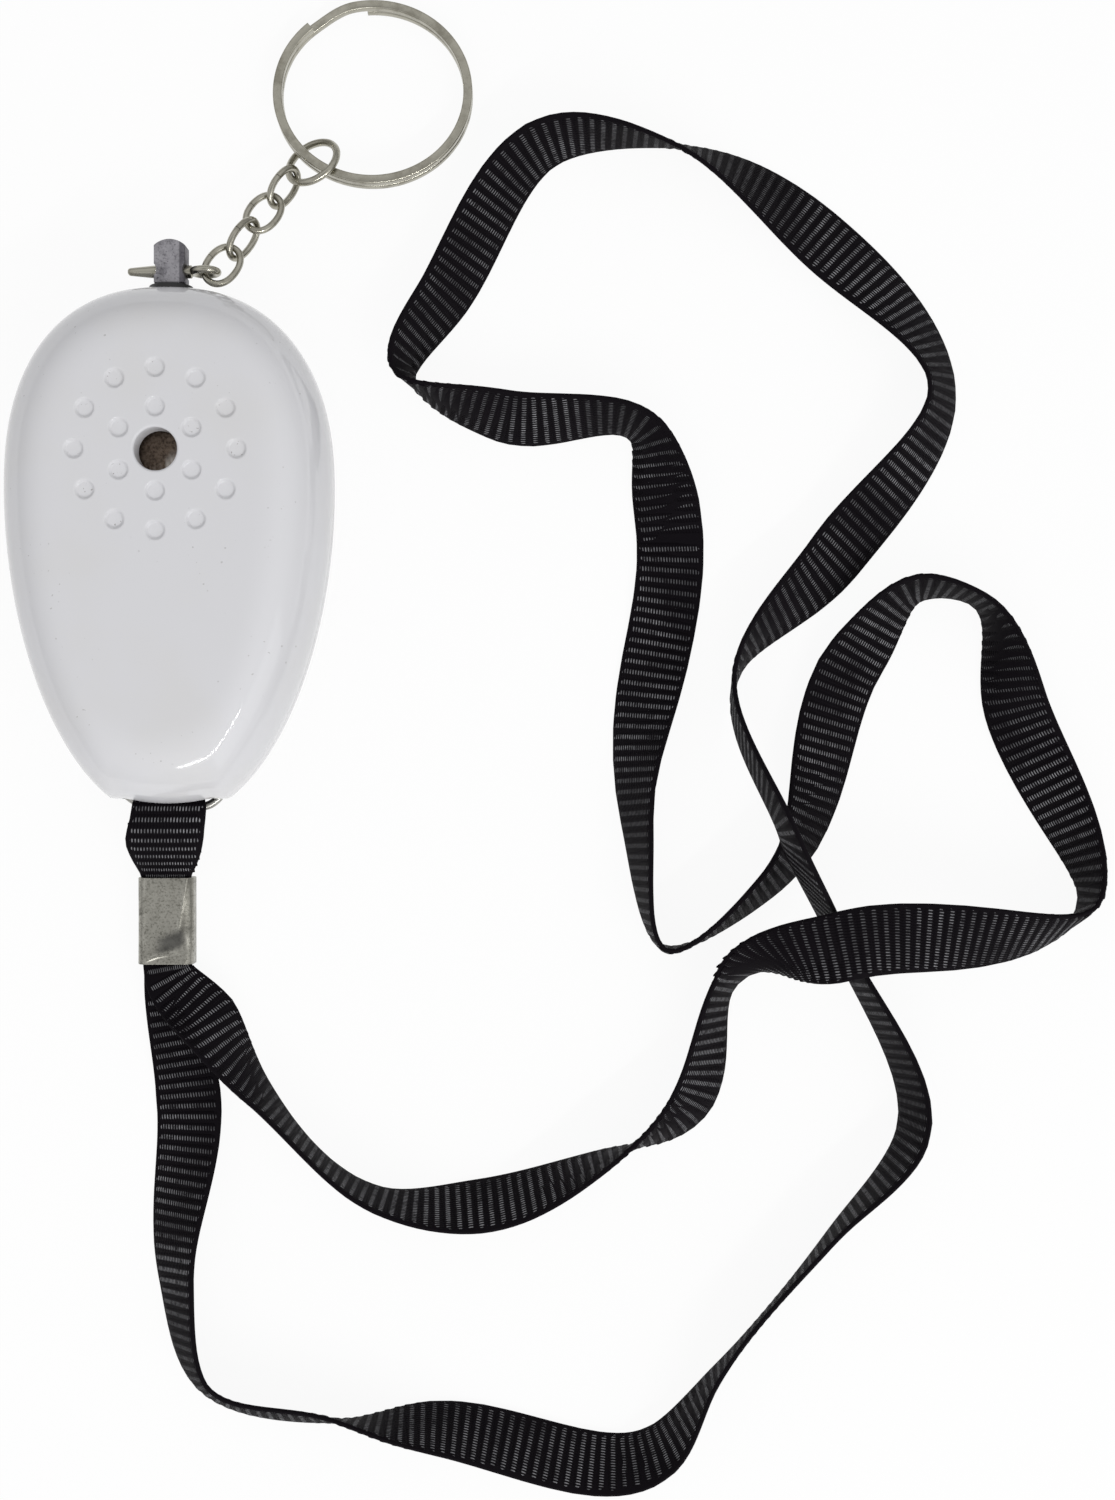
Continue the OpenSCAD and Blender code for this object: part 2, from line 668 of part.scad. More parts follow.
module lanyard_end_loop() {
    inner_r = bail_d / 2 + fit_gap;
    tail_r = 0.8;
    plan = [
        [loop_x - loop_w / 2, bail_y + 4], [loop_x + loop_w / 2, bail_y + 4],
        [loop_x + loop_w / 2, bail_y - 4], [crimp_x + tail_w / 2, crimp_top + 0.6],
        [crimp_x + tail_w / 2, crimp_low - cut], [crimp_x - tail_w / 2, crimp_low - cut],
        [crimp_x - tail_w / 2, crimp_top + 0.6], [loop_x - loop_w / 2, bail_y - 4]
    ];
    color(webbing_black) intersection() {
        translate([0, 0, -cut]) linear_extrude(case_depth) polygon(plan);
        union() {
            translate([-loop_w, 0, 0]) rotate([90, 0, 90]) linear_extrude(2 * loop_w) difference() {
                hull() {
                    translate([bail_y + loop_rise, split_z]) circle(inner_r + strap_t);
                    translate([crimp_top + tail_t / 2 + 0.1, crimp_z]) circle(tail_t / 2);
                }
                hull() {
                    translate([bail_y + loop_rise, split_z]) circle(inner_r);
                    translate([bail_y, split_z]) circle(inner_r);
                    translate([crimp_top + 3, crimp_z + 1.8]) circle(0.5);
                }
            }
            translate([crimp_x, crimp_top + 1.4, crimp_z]) rotate([90, 0, 0]) linear_extrude(crimp_len + 1.4)
                crimp_outline(tail_w, tail_t, tail_r);
        }
    }
}

module lanyard_strap() {
    run = lifted_run(smooth_run(strap_points, strap_steps));
    color(webbing_black) through_rings([for (i = [0:len(run) - 1]) strap_ring(run, i)], true);
}

module piezo_gasket() {
    color(black_plastic) translate([0, sound_y, gasket_z]) difference() {
        cylinder(d = piezo_d, h = gasket_t);
        translate([0, 0, -cut]) cylinder(d = piezo_d - 2 * seat_t - 0.8, h = gasket_t + 2 * cut);
    }
}

module piezo_plate() {
    color(brass_tone) translate([0, sound_y, plate_z]) cylinder(d = piezo_d, h = piezo_t);
}

module piezo_ceramic() {
    color("gainsboro") translate([0, sound_y, ceramic_z]) cylinder(d = ceramic_d, h = ceramic_t);
}

module piezo_leads() {
    from_y = board_low + 2;
    to_y = sound_y - 4.5;
    color("firebrick") for (x = [-1.2, 1.2]) wire([
        [x, from_y, board_top], [x, from_y, board_top + 2], [x * 1.6, (from_y + to_y) / 2, board_top + 5],
        [x * 1.6, to_y, ceramic_z - 2], [x * 1.6, to_y, ceramic_z]
    ], lead_d);
}

module circuit_board() {
    color("seagreen") difference() {
        translate([0, 0, board_z]) linear_extrude(board_t) intersection() {
            translate([-board_w / 2, board_low]) square([board_w, board_len]);
            polygon([for (p = egg_ring(board_inset, 0)) [p[0], p[1]]]);
        }
        for (p = board_screw_at) translate([p[0], p[1], board_z - cut])
            cylinder(d = board_screw_d + 0.7, h = board_t + 2 * cut);
        for (p = screw_at) translate([p[0], p[1], board_z - cut])
            cylinder(d = post_d + 2 * board_clear, h = board_t + 2 * cut);
    }
}

module board_screws() {
    head_h = 1.1;
    color(nickel) for (p = board_screw_at) translate([p[0], p[1], board_top + head_h]) rotate([180, 0, 0])
        round_screw(board_screw_d, board_t + head_h + 2.5, board_screw_head, head_h);
}

module driver_chip() {
    chip = [5, 4, 1.5];
    color(black_plastic) translate([chip_at[0] - chip[0] / 2, chip_at[1] - chip[1] / 2, board_top]) {
        translate([0, 0, 0.1]) cube(chip);
        for (k = [0:3], side = [-1, 1]) translate([0.4 + 1.27 * k, chip[1] / 2 + side * (chip[1] / 2 + 0.3) - 0.5, 0]) cube([0.4, 1, 0.6]);
    }
}

module boost_coil() {
    color("saddlebrown") translate([coil_at[0], coil_at[1], board_top]) rotate_extrude()
        polygon([[0, 0], [3.6, 0], [3.6, 1], [2.9, 1.2], [2.9, 5.6], [3.6, 5.8], [3.6, 6.8], [0, 6.8]]);
}

module transistor() {
    color(black_plastic) translate([transistor_at[0], transistor_at[1], board_top]) {
        translate([0, 0, 1.2]) intersection() {
            cylinder(d = 4.6, h = 4.6);
            translate([-3, -1.6, 0]) cube([6, 6, 4.6]);
        }
        for (x = [-1.27, 0, 1.27]) translate([x - 0.22, -0.22, 0]) cube([0.44, 0.44, 1.4]);
    }
}

module capacitor() {
    color("midnightblue") translate([capacitor_at[0], capacitor_at[1], board_top]) rotate_extrude()
        polygon([[0, 0], [2.2, 0], [2.5, 0.4], [2.5, 6.6], [2.2, 7], [0, 7]]);
}

module switch_post() {
    color(brass_tone) translate([0, leaf_y, board_top]) cylinder(d = 2, h = post_top - board_top);
}

module leaf_anchor() {
    color(brass_tone) translate([leaf_from - 1.8, leaf_y - leaf_w / 2, board_top]) cube([2, leaf_w, leaf_z - board_top - running]);
}

module switch_leaf() {
    color(brass_tone) translate([leaf_from - 0.9, leaf_y - leaf_w / 2, leaf_z]) cube([leaf_to - leaf_from + 0.9, leaf_w, leaf_t]);
}

module battery() {
    r = cell_d / 2;
    color("slategray") translate([-cell_len / 2, cell_y, cell_z]) rotate([0, 90, 0]) rotate_extrude()
        polygon([[0, 0], [r - 0.6, 0], [r, 0.5], [r, cell_len - 2], [r - 0.6, cell_len - 1.4], [3, cell_len - 1.4], [3, cell_len], [0, cell_len]]);
}

module contact(side) {
    color(nickel) translate([side * contact_x, cell_y, 0]) {
        translate([side > 0 ? 0 : -contact_t, -contact_w / 2, contact_low]) cube([contact_t, contact_w, contact_top - contact_low]);
        translate([0, 0, cell_z]) rotate([0, -90 * side, 0]) cylinder(d1 = 3, d2 = 1.6, h = contact_bump);
    }
}
module contact_positive() { contact(1); }
module contact_negative() { contact(-1); }

module battery_leads() {
    color("firebrick") for (side = [-1, 1]) {
        x = side * (contact_x + contact_t / 2);
        to_x = side * (board_w / 2 - 2.5);
        to_y = board_low + 1.6;
        top = contact_top;
        wire([
            [x, cell_y, top], [x, cell_y, top + 0.8], [x, cell_y + 1.2, top + 2], [to_x + side * 2, board_low - 5, top - 1],
            [to_x, to_y - 0.6, board_top + 2.4], [to_x, to_y, board_top + 1.2], [to_x, to_y, board_top]
        ], lead_d);
    }
}

front_shell();
back_shell();
case_screws();
pin_socket();
pull_pin();
pin_tip();
cotter_pin();
chain_link_1();
chain_link_2();
chain_link_3();
chain_link_4();
jump_ring();
key_ring();
bail_wire();
lanyard_crimp();
lanyard_end_loop();
lanyard_strap();
piezo_gasket();
piezo_plate();
piezo_ceramic();
piezo_leads();
circuit_board();
board_screws();
driver_chip();
boost_coil();
transistor();
capacitor();
switch_post();
leaf_anchor();
switch_leaf();
battery();
contact_positive();
contact_negative();
battery_leads();
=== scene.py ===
"""Dresses the personal safety alarm: egg casing, pull pin, chain and rings, and the woven lanyard."""

import logging
import math
from dataclasses import dataclass, field
from enum import Enum
from functools import cache
from typing import Any, Sequence

import bmesh
import bpy
import numpy as np
from mathutils import Euler, Matrix, Vector


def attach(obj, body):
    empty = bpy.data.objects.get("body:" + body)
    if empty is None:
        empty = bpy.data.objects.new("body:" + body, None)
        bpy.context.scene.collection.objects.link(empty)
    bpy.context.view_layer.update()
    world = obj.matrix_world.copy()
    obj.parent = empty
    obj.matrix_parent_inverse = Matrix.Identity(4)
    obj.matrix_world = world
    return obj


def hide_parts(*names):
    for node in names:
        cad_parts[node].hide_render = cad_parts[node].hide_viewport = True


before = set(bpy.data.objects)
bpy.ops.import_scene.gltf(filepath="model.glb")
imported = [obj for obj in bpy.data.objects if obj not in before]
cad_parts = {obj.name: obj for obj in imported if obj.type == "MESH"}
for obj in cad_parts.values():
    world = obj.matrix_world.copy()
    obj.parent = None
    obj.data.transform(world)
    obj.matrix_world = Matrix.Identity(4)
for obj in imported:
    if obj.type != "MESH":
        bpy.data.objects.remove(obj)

MM = 0.001
BEYOND = 1e3
LOG = logging.getLogger("alarm")
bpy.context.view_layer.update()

# Sizes that more than one class uses, in millimetres
SPLIT_Z = 10.0
FACE_Z = 22.0
SOUND_Y = 12.5
CRIMP_X = -2.0
CRIMP_TOP = -48.1
CRIMP_LOW = -60.9
FOLD_AT = 3.35
FOLD_SLANT = 0.19
STRAP_WIDTH = 10.0
STRAP_THICK = 0.9
RIB_PITCH = 1.6

Triple = tuple[float, float, float]
Pair = tuple[float, float]


class Signal:
    """A shader value that takes part in Python expressions."""

    def __init__(self, paint: "Paint", socket: bpy.types.NodeSocket) -> None:
        """Keep the socket and the paint that owns it."""
        self.paint = paint
        self.socket = socket

    def _math(self, operation: str, first: Any, second: Any = 0.0, clamp: bool = False) -> "Signal":
        """Add one Math node on two values."""
        settings = {"operation": operation, "use_clamp": clamp}
        return self.paint.add("ShaderNodeMath", settings, {0: first, 1: second})

    def __add__(self, other: Any) -> "Signal":
        """Return this plus other."""
        return self._math("ADD", self, other)

    __radd__ = __add__

    def __sub__(self, other: Any) -> "Signal":
        """Return this minus other."""
        return self._math("SUBTRACT", self, other)

    def __rsub__(self, other: Any) -> "Signal":
        """Return other minus this."""
        return self._math("SUBTRACT", other, self)

    def __mul__(self, other: Any) -> "Signal":
        """Return this times other."""
        return self._math("MULTIPLY", self, other)

    __rmul__ = __mul__

    def __truediv__(self, other: Any) -> "Signal":
        """Return this divided by other."""
        return self._math("DIVIDE", self, other)

    def __pow__(self, other: Any) -> "Signal":
        """Return this raised to other."""
        return self._math("POWER", self, other)

    def sine(self) -> "Signal":
        """Return the sine of this angle."""
        return self._math("SINE", self)

    def size(self) -> "Signal":
        """Return the absolute value."""
        return self._math("ABSOLUTE", self)

    def fraction(self) -> "Signal":
        """Return the part after the point."""
        return self._math("FRACT", self)

    def above(self, other: Any) -> "Signal":
        """Return 1 where this is greater than other."""
        return self._math("GREATER_THAN", self, other)

    def most(self, other: Any) -> "Signal":
        """Return the greater of this and other."""
        return self._math("MAXIMUM", self, other)

    def step(self, low: float, high: float) -> "Signal":
        """Return a smooth step.

        Args:
            low: Value below which the step is 0.
            high: Value above which the step is 1.

        Returns:
            The step as a signal.
        """
        return self.paint.add(
            "ShaderNodeMapRange",
            {"interpolation_type": "SMOOTHSTEP"},
            {"Value": self, "From Min": low, "From Max": high, "To Min": 0.0, "To Max": 1.0},
        )


class Paint:
    """One procedural material, or the room's light, built node by node."""

    def __init__(self, name: str, owner: bpy.types.ID | None = None) -> None:
        """Start with no nodes.

        Args:
            name: Name of the finish.
            owner: What the nodes belong to, or None for a new material.
        """
        self.owner = owner or bpy.data.materials.new(f"{name}_finish")
        self.owner.use_nodes = True
        self.tree = self.owner.node_tree
        self.tree.nodes.clear()

    def add(self, kind: str, settings: dict[str, Any], inputs: dict[Any, Any], output: Any = 0) -> Signal:
        """Add one node.

        Args:
            kind: The node's type.
            settings: Properties that are set first; "stops" fills a colour ramp.
            inputs: Values or signals by socket name or number.
            output: Name or number of the socket to return.

        Returns:
            The chosen output as a signal.
        """
        node = self.tree.nodes.new(kind)
        for key, value in settings.items():
            if key == "stops":
                self._fill_ramp(node.color_ramp, value)
            else:
                setattr(node, key, value)
        for key, value in inputs.items():
            if isinstance(value, Signal):
                self.tree.links.new(value.socket, node.inputs[key])
            else:
                node.inputs[key].default_value = value
        return Signal(self, node.outputs[output] if len(node.outputs) else None)

    @staticmethod
    def _fill_ramp(ramp: bpy.types.ColorRamp, stops: Sequence[tuple[float, Triple]]) -> None:
        """Set the stops of a colour ramp.

        Args:
            ramp: The ramp.
            stops: Pairs of place and colour.
        """
        while len(ramp.elements) < len(stops):
            ramp.elements.new(0.5)
        for element, (place, tone) in zip(ramp.elements, stops):
            element.position = place
            element.color = (*tone, 1.0)

    def place(self) -> Signal:
        """Return the object coordinates."""
        return self.add("ShaderNodeTexCoord", {}, {}, "Object")

    def axes(self) -> tuple[Signal, Signal, Signal]:
        """Return x, y and z of the object coordinates, in millimetres.

        Returns:
            The three signals.
        """
        point = self.place()
        parts = [self.add("ShaderNodeSeparateXYZ", {}, {0: point}, k) for k in range(3)]
        return parts[0] / MM, parts[1] / MM, parts[2] / MM

    def attribute(self, name: str) -> Signal:
        """Return a value that is stored on the mesh."""
        return self.add("ShaderNodeAttribute", {"attribute_name": name}, {}, "Fac")

    def noise(
        self, grain: float, detail: float = 3.0, rough: float = 0.55, stretch: Triple = (1, 1, 1)
    ) -> Signal:
        """Return noise with a grain size in millimetres.

        Args:
            grain: Size of the largest grains.
            detail: Number of finer octaves.
            rough: Strength of the finer octaves.
            stretch: Scale of the pattern along each axis.

        Returns:
            A value from 0 to 1.
        """
        point = self.add("ShaderNodeMapping", {}, {"Vector": self.place(), "Scale": stretch})
        inputs = {"Vector": point, "Scale": 1 / (grain * MM), "Detail": detail, "Roughness": rough}
        return self.add("ShaderNodeTexNoise", {}, inputs)

    def cells(self, grain: float) -> Signal:
        """Return the distance to the nearest of scattered points with a given spacing in millimetres."""
        return self.add("ShaderNodeTexVoronoi", {}, {"Vector": self.place(), "Scale": 1 / (grain * MM)})

    def mix(self, mask: Any, low: Any, high: Any) -> Signal:
        """Return the colour low where the mask is 0 and high where it is 1."""
        low, high = ((*c, 1.0) if isinstance(c, tuple) else c for c in (low, high))
        return self.add("ShaderNodeMix", {"data_type": "RGBA"}, {0: mask, 6: low, 7: high}, 2)

    def bump(self, height: Signal, depth: float) -> Signal:
        """Return a normal from a height from 0 to 1 and a depth in millimetres."""
        return self.add("ShaderNodeBump", {}, {"Height": height, "Distance": depth * MM, "Strength": 1.0})

    def surface(self, **sockets: Any) -> bpy.types.Material:
        """Finish the material with one shader.

        Args:
            sockets: Values or signals by socket name, with _ for a space.

        Returns:
            The material.
        """
        inputs = {}
        for key, value in sockets.items():
            is_colour = isinstance(value, tuple) and len(value) == 3
            inputs[key.replace("_", " ")] = (*value, 1.0) if is_colour else value
        shader = self.add("ShaderNodeBsdfPrincipled", {}, inputs)
        return self.show(shader)

    def show(self, shader: Signal) -> bpy.types.Material:
        """Connect a shader to the output and return the material."""
        self.add("ShaderNodeOutputMaterial", {}, {"Surface": shader})
        return self.owner


@dataclass(frozen=True)
class GlossyShell:
    """Glossy white moulding with a faint skin, soft scuffs and specks in the dimples."""

    name: str = "shell_white"
    tone: Triple = (0.685, 0.685, 0.705)
    warm: Triple = (0.675, 0.672, 0.68)
    grime: Triple = (0.16, 0.14, 0.12)
    face_z: float = FACE_Z
    sound_y: float = SOUND_Y

    def material(self) -> bpy.types.Material:
        """Build the finish's nodes.

        Returns:
            The material.
        """
        paint = Paint(self.name)
        x, y, z = paint.axes()
        clouds = paint.noise(14.0, 2.0)
        tone = paint.mix(clouds.step(0.4, 0.75), self.tone, self.warm)
        reach = (x * x + (y - self.sound_y) * (y - self.sound_y)) ** 0.5
        sunk = (self.face_z - z).step(0.12, 0.4) * (1 - reach.step(13.0, 13.4)) * reach.step(3.9, 4.3)
        specks = paint.noise(0.42, 1.0).step(0.68, 0.76) * paint.noise(5.0, 1.0).step(0.46, 0.6)
        stray = paint.noise(0.5, 0.0).step(0.80, 0.84) * paint.noise(9.0, 1.0).step(0.5, 0.62)
        tone = paint.mix(sunk * specks * 0.75, tone, self.grime)
        tone = paint.mix(stray * 0.35, tone, self.grime)
        scuffs = paint.noise(2.2, 4.0, 0.7, (1.0, 0.22, 1.0)).step(0.56, 0.74)
        rough = 0.06 + 0.04 * clouds + 0.07 * scuffs
        skin = paint.bump(paint.noise(1.4, 3.0), 0.003)
        return paint.surface(Base_Color=tone, Roughness=rough, Normal=skin, IOR=1.49)


@dataclass(frozen=True)
class PlatedMetal:
    """Plated metal with fine pits, duller patches and painted shade on the side past a given place on the X
    axis.
    """

    name: str
    tone: Triple
    dull_and_shade: Triple
    rough: float = 0.26
    grain: float = 0.35
    relief: float = 0.012
    spangle: float = 0.0
    shade_from_x: float = BEYOND

    def material(self) -> bpy.types.Material:
        """Build the finish's nodes.

        Returns:
            The material.
        """
        paint = Paint(self.name)
        patches = paint.noise(2.6, 4.0, 0.65).step(0.42, 0.72)
        fine = paint.noise(self.grain, 3.0, 0.7)
        pits = 1 - paint.cells(self.grain * 1.6).step(0.06, 0.24)
        tone = paint.mix(patches * 0.7 + fine.step(0.5, 0.72) * self.spangle, self.tone, self.dull_and_shade)
        # Painted shade: past the given place on X the side is darkened, as on a face turned from the light.
        dark = paint.axes()[0].step(self.shade_from_x, self.shade_from_x + 0.2)
        tone = paint.mix(dark * 0.8, tone, self.dull_and_shade)
        rough = self.rough + 0.16 * patches + (0.12 + 0.25 * self.spangle) * fine
        height = fine + pits * -0.6
        return paint.surface(
            Base_Color=tone, Metallic=1.0, Roughness=rough, Normal=paint.bump(height, self.relief)
        )


@dataclass(frozen=True)
class CrimpPlate:
    """Mottled satin plate of the crimp, with painted shade on its folded facet and a painted dark reflection
    over the real dent near its low end.
    """

    name: str = "crimp_plate"
    tone: Triple = (0.42, 0.41, 0.365)
    dull_and_shade: Triple = (0.17, 0.165, 0.142)
    painted_dent_reflection: Triple = (0.075, 0.074, 0.07)
    centre_x: float = CRIMP_X
    top_y: float = CRIMP_TOP
    low_y: float = CRIMP_LOW

    def material(self) -> bpy.types.Material:
        """Build the finish's nodes.

        Returns:
            The material.
        """
        paint = Paint(self.name)
        x, y, z = paint.axes()
        across, up = x - self.centre_x, y - self.low_y
        front = z.step(3.4, 4.1)
        fine = paint.noise(0.34, 4.0, 0.7)
        blots = paint.noise(1.5, 4.0, 0.65)
        patches = blots.step(0.38, 0.66)
        tone = paint.mix(0.4 * patches + 0.75 * fine.step(0.46, 0.66), self.tone, self.dull_and_shade)
        # Painted shade: the folded facet at the right is darkened.
        painted_facet_shade = (across - FOLD_AT + FOLD_SLANT * (self.top_y - y)).step(0.0, 0.15) * up.step(4.6, 5.4) * front
        # Painted dark reflection: a ragged patch over the dent near the low end is darkened.
        edge = up - 0.3 * across + 2.0 * (blots - 0.5)
        inner = 1 - (across + 1.2 * (blots - 0.5)).step(2.2, 3.2)
        hollow = across.step(-2.2, 0.2) * inner * (1 - edge.step(3.6, 5.0)) * edge.step(1.2, 2.4) * front
        tone = paint.mix(0.55 * painted_facet_shade, tone, self.dull_and_shade)
        tone = paint.mix(0.85 * hollow, tone, self.painted_dent_reflection)
        rough = 0.27 + 0.12 * patches + 0.16 * fine
        return paint.surface(Base_Color=tone, Metallic=1.0, Roughness=rough, Normal=paint.bump(fine, 0.014))


@dataclass(frozen=True)
class SounderDisc:
    """Thin metal disc under the sound hole: brown with age, with a painted reflection that lightens it
    towards one side.
    """

    name: str = "sounder_plate"
    tone: Triple = (0.17, 0.13, 0.1)
    dark: Triple = (0.06, 0.043, 0.033)
    pale_patch: Triple = (0.62, 0.59, 0.55)
    sound_y: float = SOUND_Y

    def material(self) -> bpy.types.Material:
        """Build the finish's nodes.

        Returns:
            The material.
        """
        paint = Paint(self.name)
        x, y = paint.axes()[:2]
        # Painted reflection: streaks towards the lower right are lightened.
        aside = (x - (y - self.sound_y)) * 0.707
        fine = paint.noise(0.4, 4.0, 0.65)
        streaks = paint.noise(1.1, 3.0, 0.6, (1.0, 0.35, 1.0))
        tone = paint.mix(fine.step(0.35, 0.7), self.tone, self.dark)
        bright = aside.step(0.2, 2.6) * streaks.step(0.3, 0.62)
        tone = paint.mix(bright, tone, self.pale_patch)
        rough = 0.34 + 0.2 * fine - 0.1 * bright
        return paint.surface(Base_Color=tone, Metallic=1.0, Roughness=rough, Normal=paint.bump(fine, 0.008))


@dataclass(frozen=True)
class Moulding:
    """Matt or satin moulded plastic, rubber or ceramic with a fine grain."""

    name: str
    tone: Triple
    blotch: Triple
    rough: float = 0.45
    grain: float = 0.4
    relief: float = 0.015

    def material(self) -> bpy.types.Material:
        """Build the finish's nodes.

        Returns:
            The material.
        """
        paint = Paint(self.name)
        clouds = paint.noise(3.0, 3.0)
        fine = paint.noise(self.grain, 3.0, 0.6)
        tone = paint.mix(clouds.step(0.45, 0.75) * 0.6 + fine.step(0.6, 0.85) * 0.4, self.tone, self.blotch)
        rough = self.rough - 0.08 + 0.16 * fine
        return paint.surface(Base_Color=tone, Roughness=rough, Normal=paint.bump(fine, self.relief))


@dataclass(frozen=True)
class WovenWebbing:
    """Black ribbed webbing: yarns run over each rib and every other rib is set off by half a yarn; the crests
    carry painted glints in broad patches.
    """

    name: str = "webbing"
    tone: Triple = (0.0042, 0.003, 0.0046)
    lit: Triple = (0.3, 0.3, 0.315)
    yarn: float = 0.42
    rib: float = RIB_PITCH

    def material(self) -> bpy.types.Material:
        """Build the finish's nodes.

        Returns:
            The material.
        """
        paint = Paint(self.name)
        across = paint.attribute("across")
        around = paint.attribute("around")
        along = paint.attribute("along")
        other = (along / (2 * self.rib)).fraction().above(0.5)
        phase = across / self.yarn + 0.5 * other + 0.35 * (around - 0.5)
        ridge = 0.5 + 0.5 * (phase * math.tau).sine()
        frayed = paint.noise(0.9, 3.0, 0.6)
        # Painted glints: the yarn crests are lightened, more strongly in broad patches.
        blotch = paint.noise(16.0, 2.0).step(0.36, 0.66)
        crest = ridge.step(0.45, 0.9) * (1 - (around - 0.5).size().step(0.12, 0.26))
        tone = paint.mix(crest * frayed.step(0.2, 0.62) * (0.3 + 0.7 * blotch), self.tone, self.lit)
        rough = 0.7 - 0.25 * crest + 0.1 * frayed
        weave = paint.bump(ridge + 0.3 * frayed, 0.12)
        return paint.surface(Base_Color=tone, Roughness=rough, Normal=weave, Specular_IOR_Level=0.07)


@dataclass(frozen=True)
class BoardLaminate:
    """Green board with copper runs under the lacquer and bright pads."""

    name: str = "board_green"
    tone: Triple = (0.02, 0.13, 0.06)
    run: Triple = (0.045, 0.21, 0.09)
    pad: Triple = (0.6, 0.6, 0.58)

    def material(self) -> bpy.types.Material:
        """Build the finish's nodes.

        Returns:
            The material.
        """
        paint = Paint(self.name)
        x, y = paint.axes()[:2]
        stripes = ((x / 2.4).fraction() - 0.5).size().step(0.12, 0.16)
        bends = ((y / 5.2 + 0.2).fraction() - 0.5).size().step(0.2, 0.24)
        runs = (1 - stripes) * bends
        dots = ((x / 2.54).fraction() - 0.5) ** 2 + ((y / 2.54).fraction() - 0.5) ** 2
        pads = (1 - dots.step(0.02, 0.035)) * paint.noise(6.0, 0.0).step(0.5, 0.54)
        fine = paint.noise(0.5, 2.0)
        tone = paint.mix(pads, paint.mix(runs, self.tone, self.run), self.pad)
        height = runs.most(pads) + 0.1 * fine
        return paint.surface(
            Base_Color=tone, Metallic=0.8 * pads, Roughness=0.3 + 0.15 * fine, Normal=paint.bump(height, 0.03)
        )


@dataclass(frozen=True)
class CopperWinding:
    """Enamelled wire in close turns round an upright core."""

    name: str = "coil"
    tone: Triple = (0.42, 0.16, 0.05)
    shade: Triple = (0.12, 0.04, 0.015)

    def material(self) -> bpy.types.Material:
        """Build the finish's nodes.

        Returns:
            The material.
        """
        paint = Paint(self.name)
        z = paint.axes()[2]
        turns = (z / 0.22).fraction() - 0.5
        groove = turns.size().step(0.3, 0.5)
        fine = paint.noise(0.6, 2.0)
        tone = paint.mix(groove * 0.8 + 0.2 * fine, self.tone, self.shade)
        return paint.surface(
            Base_Color=tone, Metallic=0.75 - 0.3 * groove, Roughness=0.3 + 0.2 * fine,
            Normal=paint.bump(1 - groove, 0.1),
        )


@dataclass(frozen=True)
class CellJacket:
    """Battery sleeve: satin film over the can, with a bare metal band at one end."""

    name: str = "cell"
    tone: Triple = (0.08, 0.11, 0.16)
    band: Triple = (0.36, 0.36, 0.35)
    end_x: float = 9.5

    def material(self) -> bpy.types.Material:
        """Build the finish's nodes.

        Returns:
            The material.
        """
        paint = Paint(self.name)
        x = paint.axes()[0]
        band = x.step(self.end_x, self.end_x + 0.15)
        fine = paint.noise(0.6, 3.0)
        # Rubbed patches of the film show the paler metal.
        pale_patch = paint.noise(3.0, 3.0, 0.6, (0.3, 1.0, 1.0)).step(0.55, 0.8)
        tone = paint.mix(band, paint.mix(0.5 * pale_patch, self.tone, self.band), self.band)
        return paint.surface(
            Base_Color=tone, Metallic=0.85 * band, Roughness=0.34 + 0.14 * fine, Normal=paint.bump(fine, 0.01)
        )


@dataclass(frozen=True)
class FloorPaper:
    """White sheet: bright to the camera and to reflections, with the object's own soft shadow kept."""

    name: str = "floor_paper"
    tone: Triple = (0.86, 0.86, 0.86)
    share: float = 0.93

    def material(self) -> bpy.types.Material:
        """Build the finish's nodes.

        Returns:
            The material.
        """
        paint = Paint(self.name)
        rays = ("Camera", "Glossy", "Transmission")
        seen = [paint.add("ShaderNodeLightPath", {}, {}, f"Is {ray} Ray") for ray in rays]
        clear = seen[0].most(seen[1]).most(seen[2]) * self.share
        fibre = paint.noise(1.2, 4.0)
        sheet = paint.mix(fibre.step(0.3, 0.8), self.tone, tuple(0.985 * c for c in self.tone))
        matt = paint.add("ShaderNodeBsdfDiffuse", {}, {"Color": sheet})
        glow = paint.add("ShaderNodeEmission", {}, {"Color": (1, 1, 1, 1), "Strength": 1.0})
        return paint.show(paint.add("ShaderNodeMixShader", {}, {0: clear, 1: matt, 2: glow}))


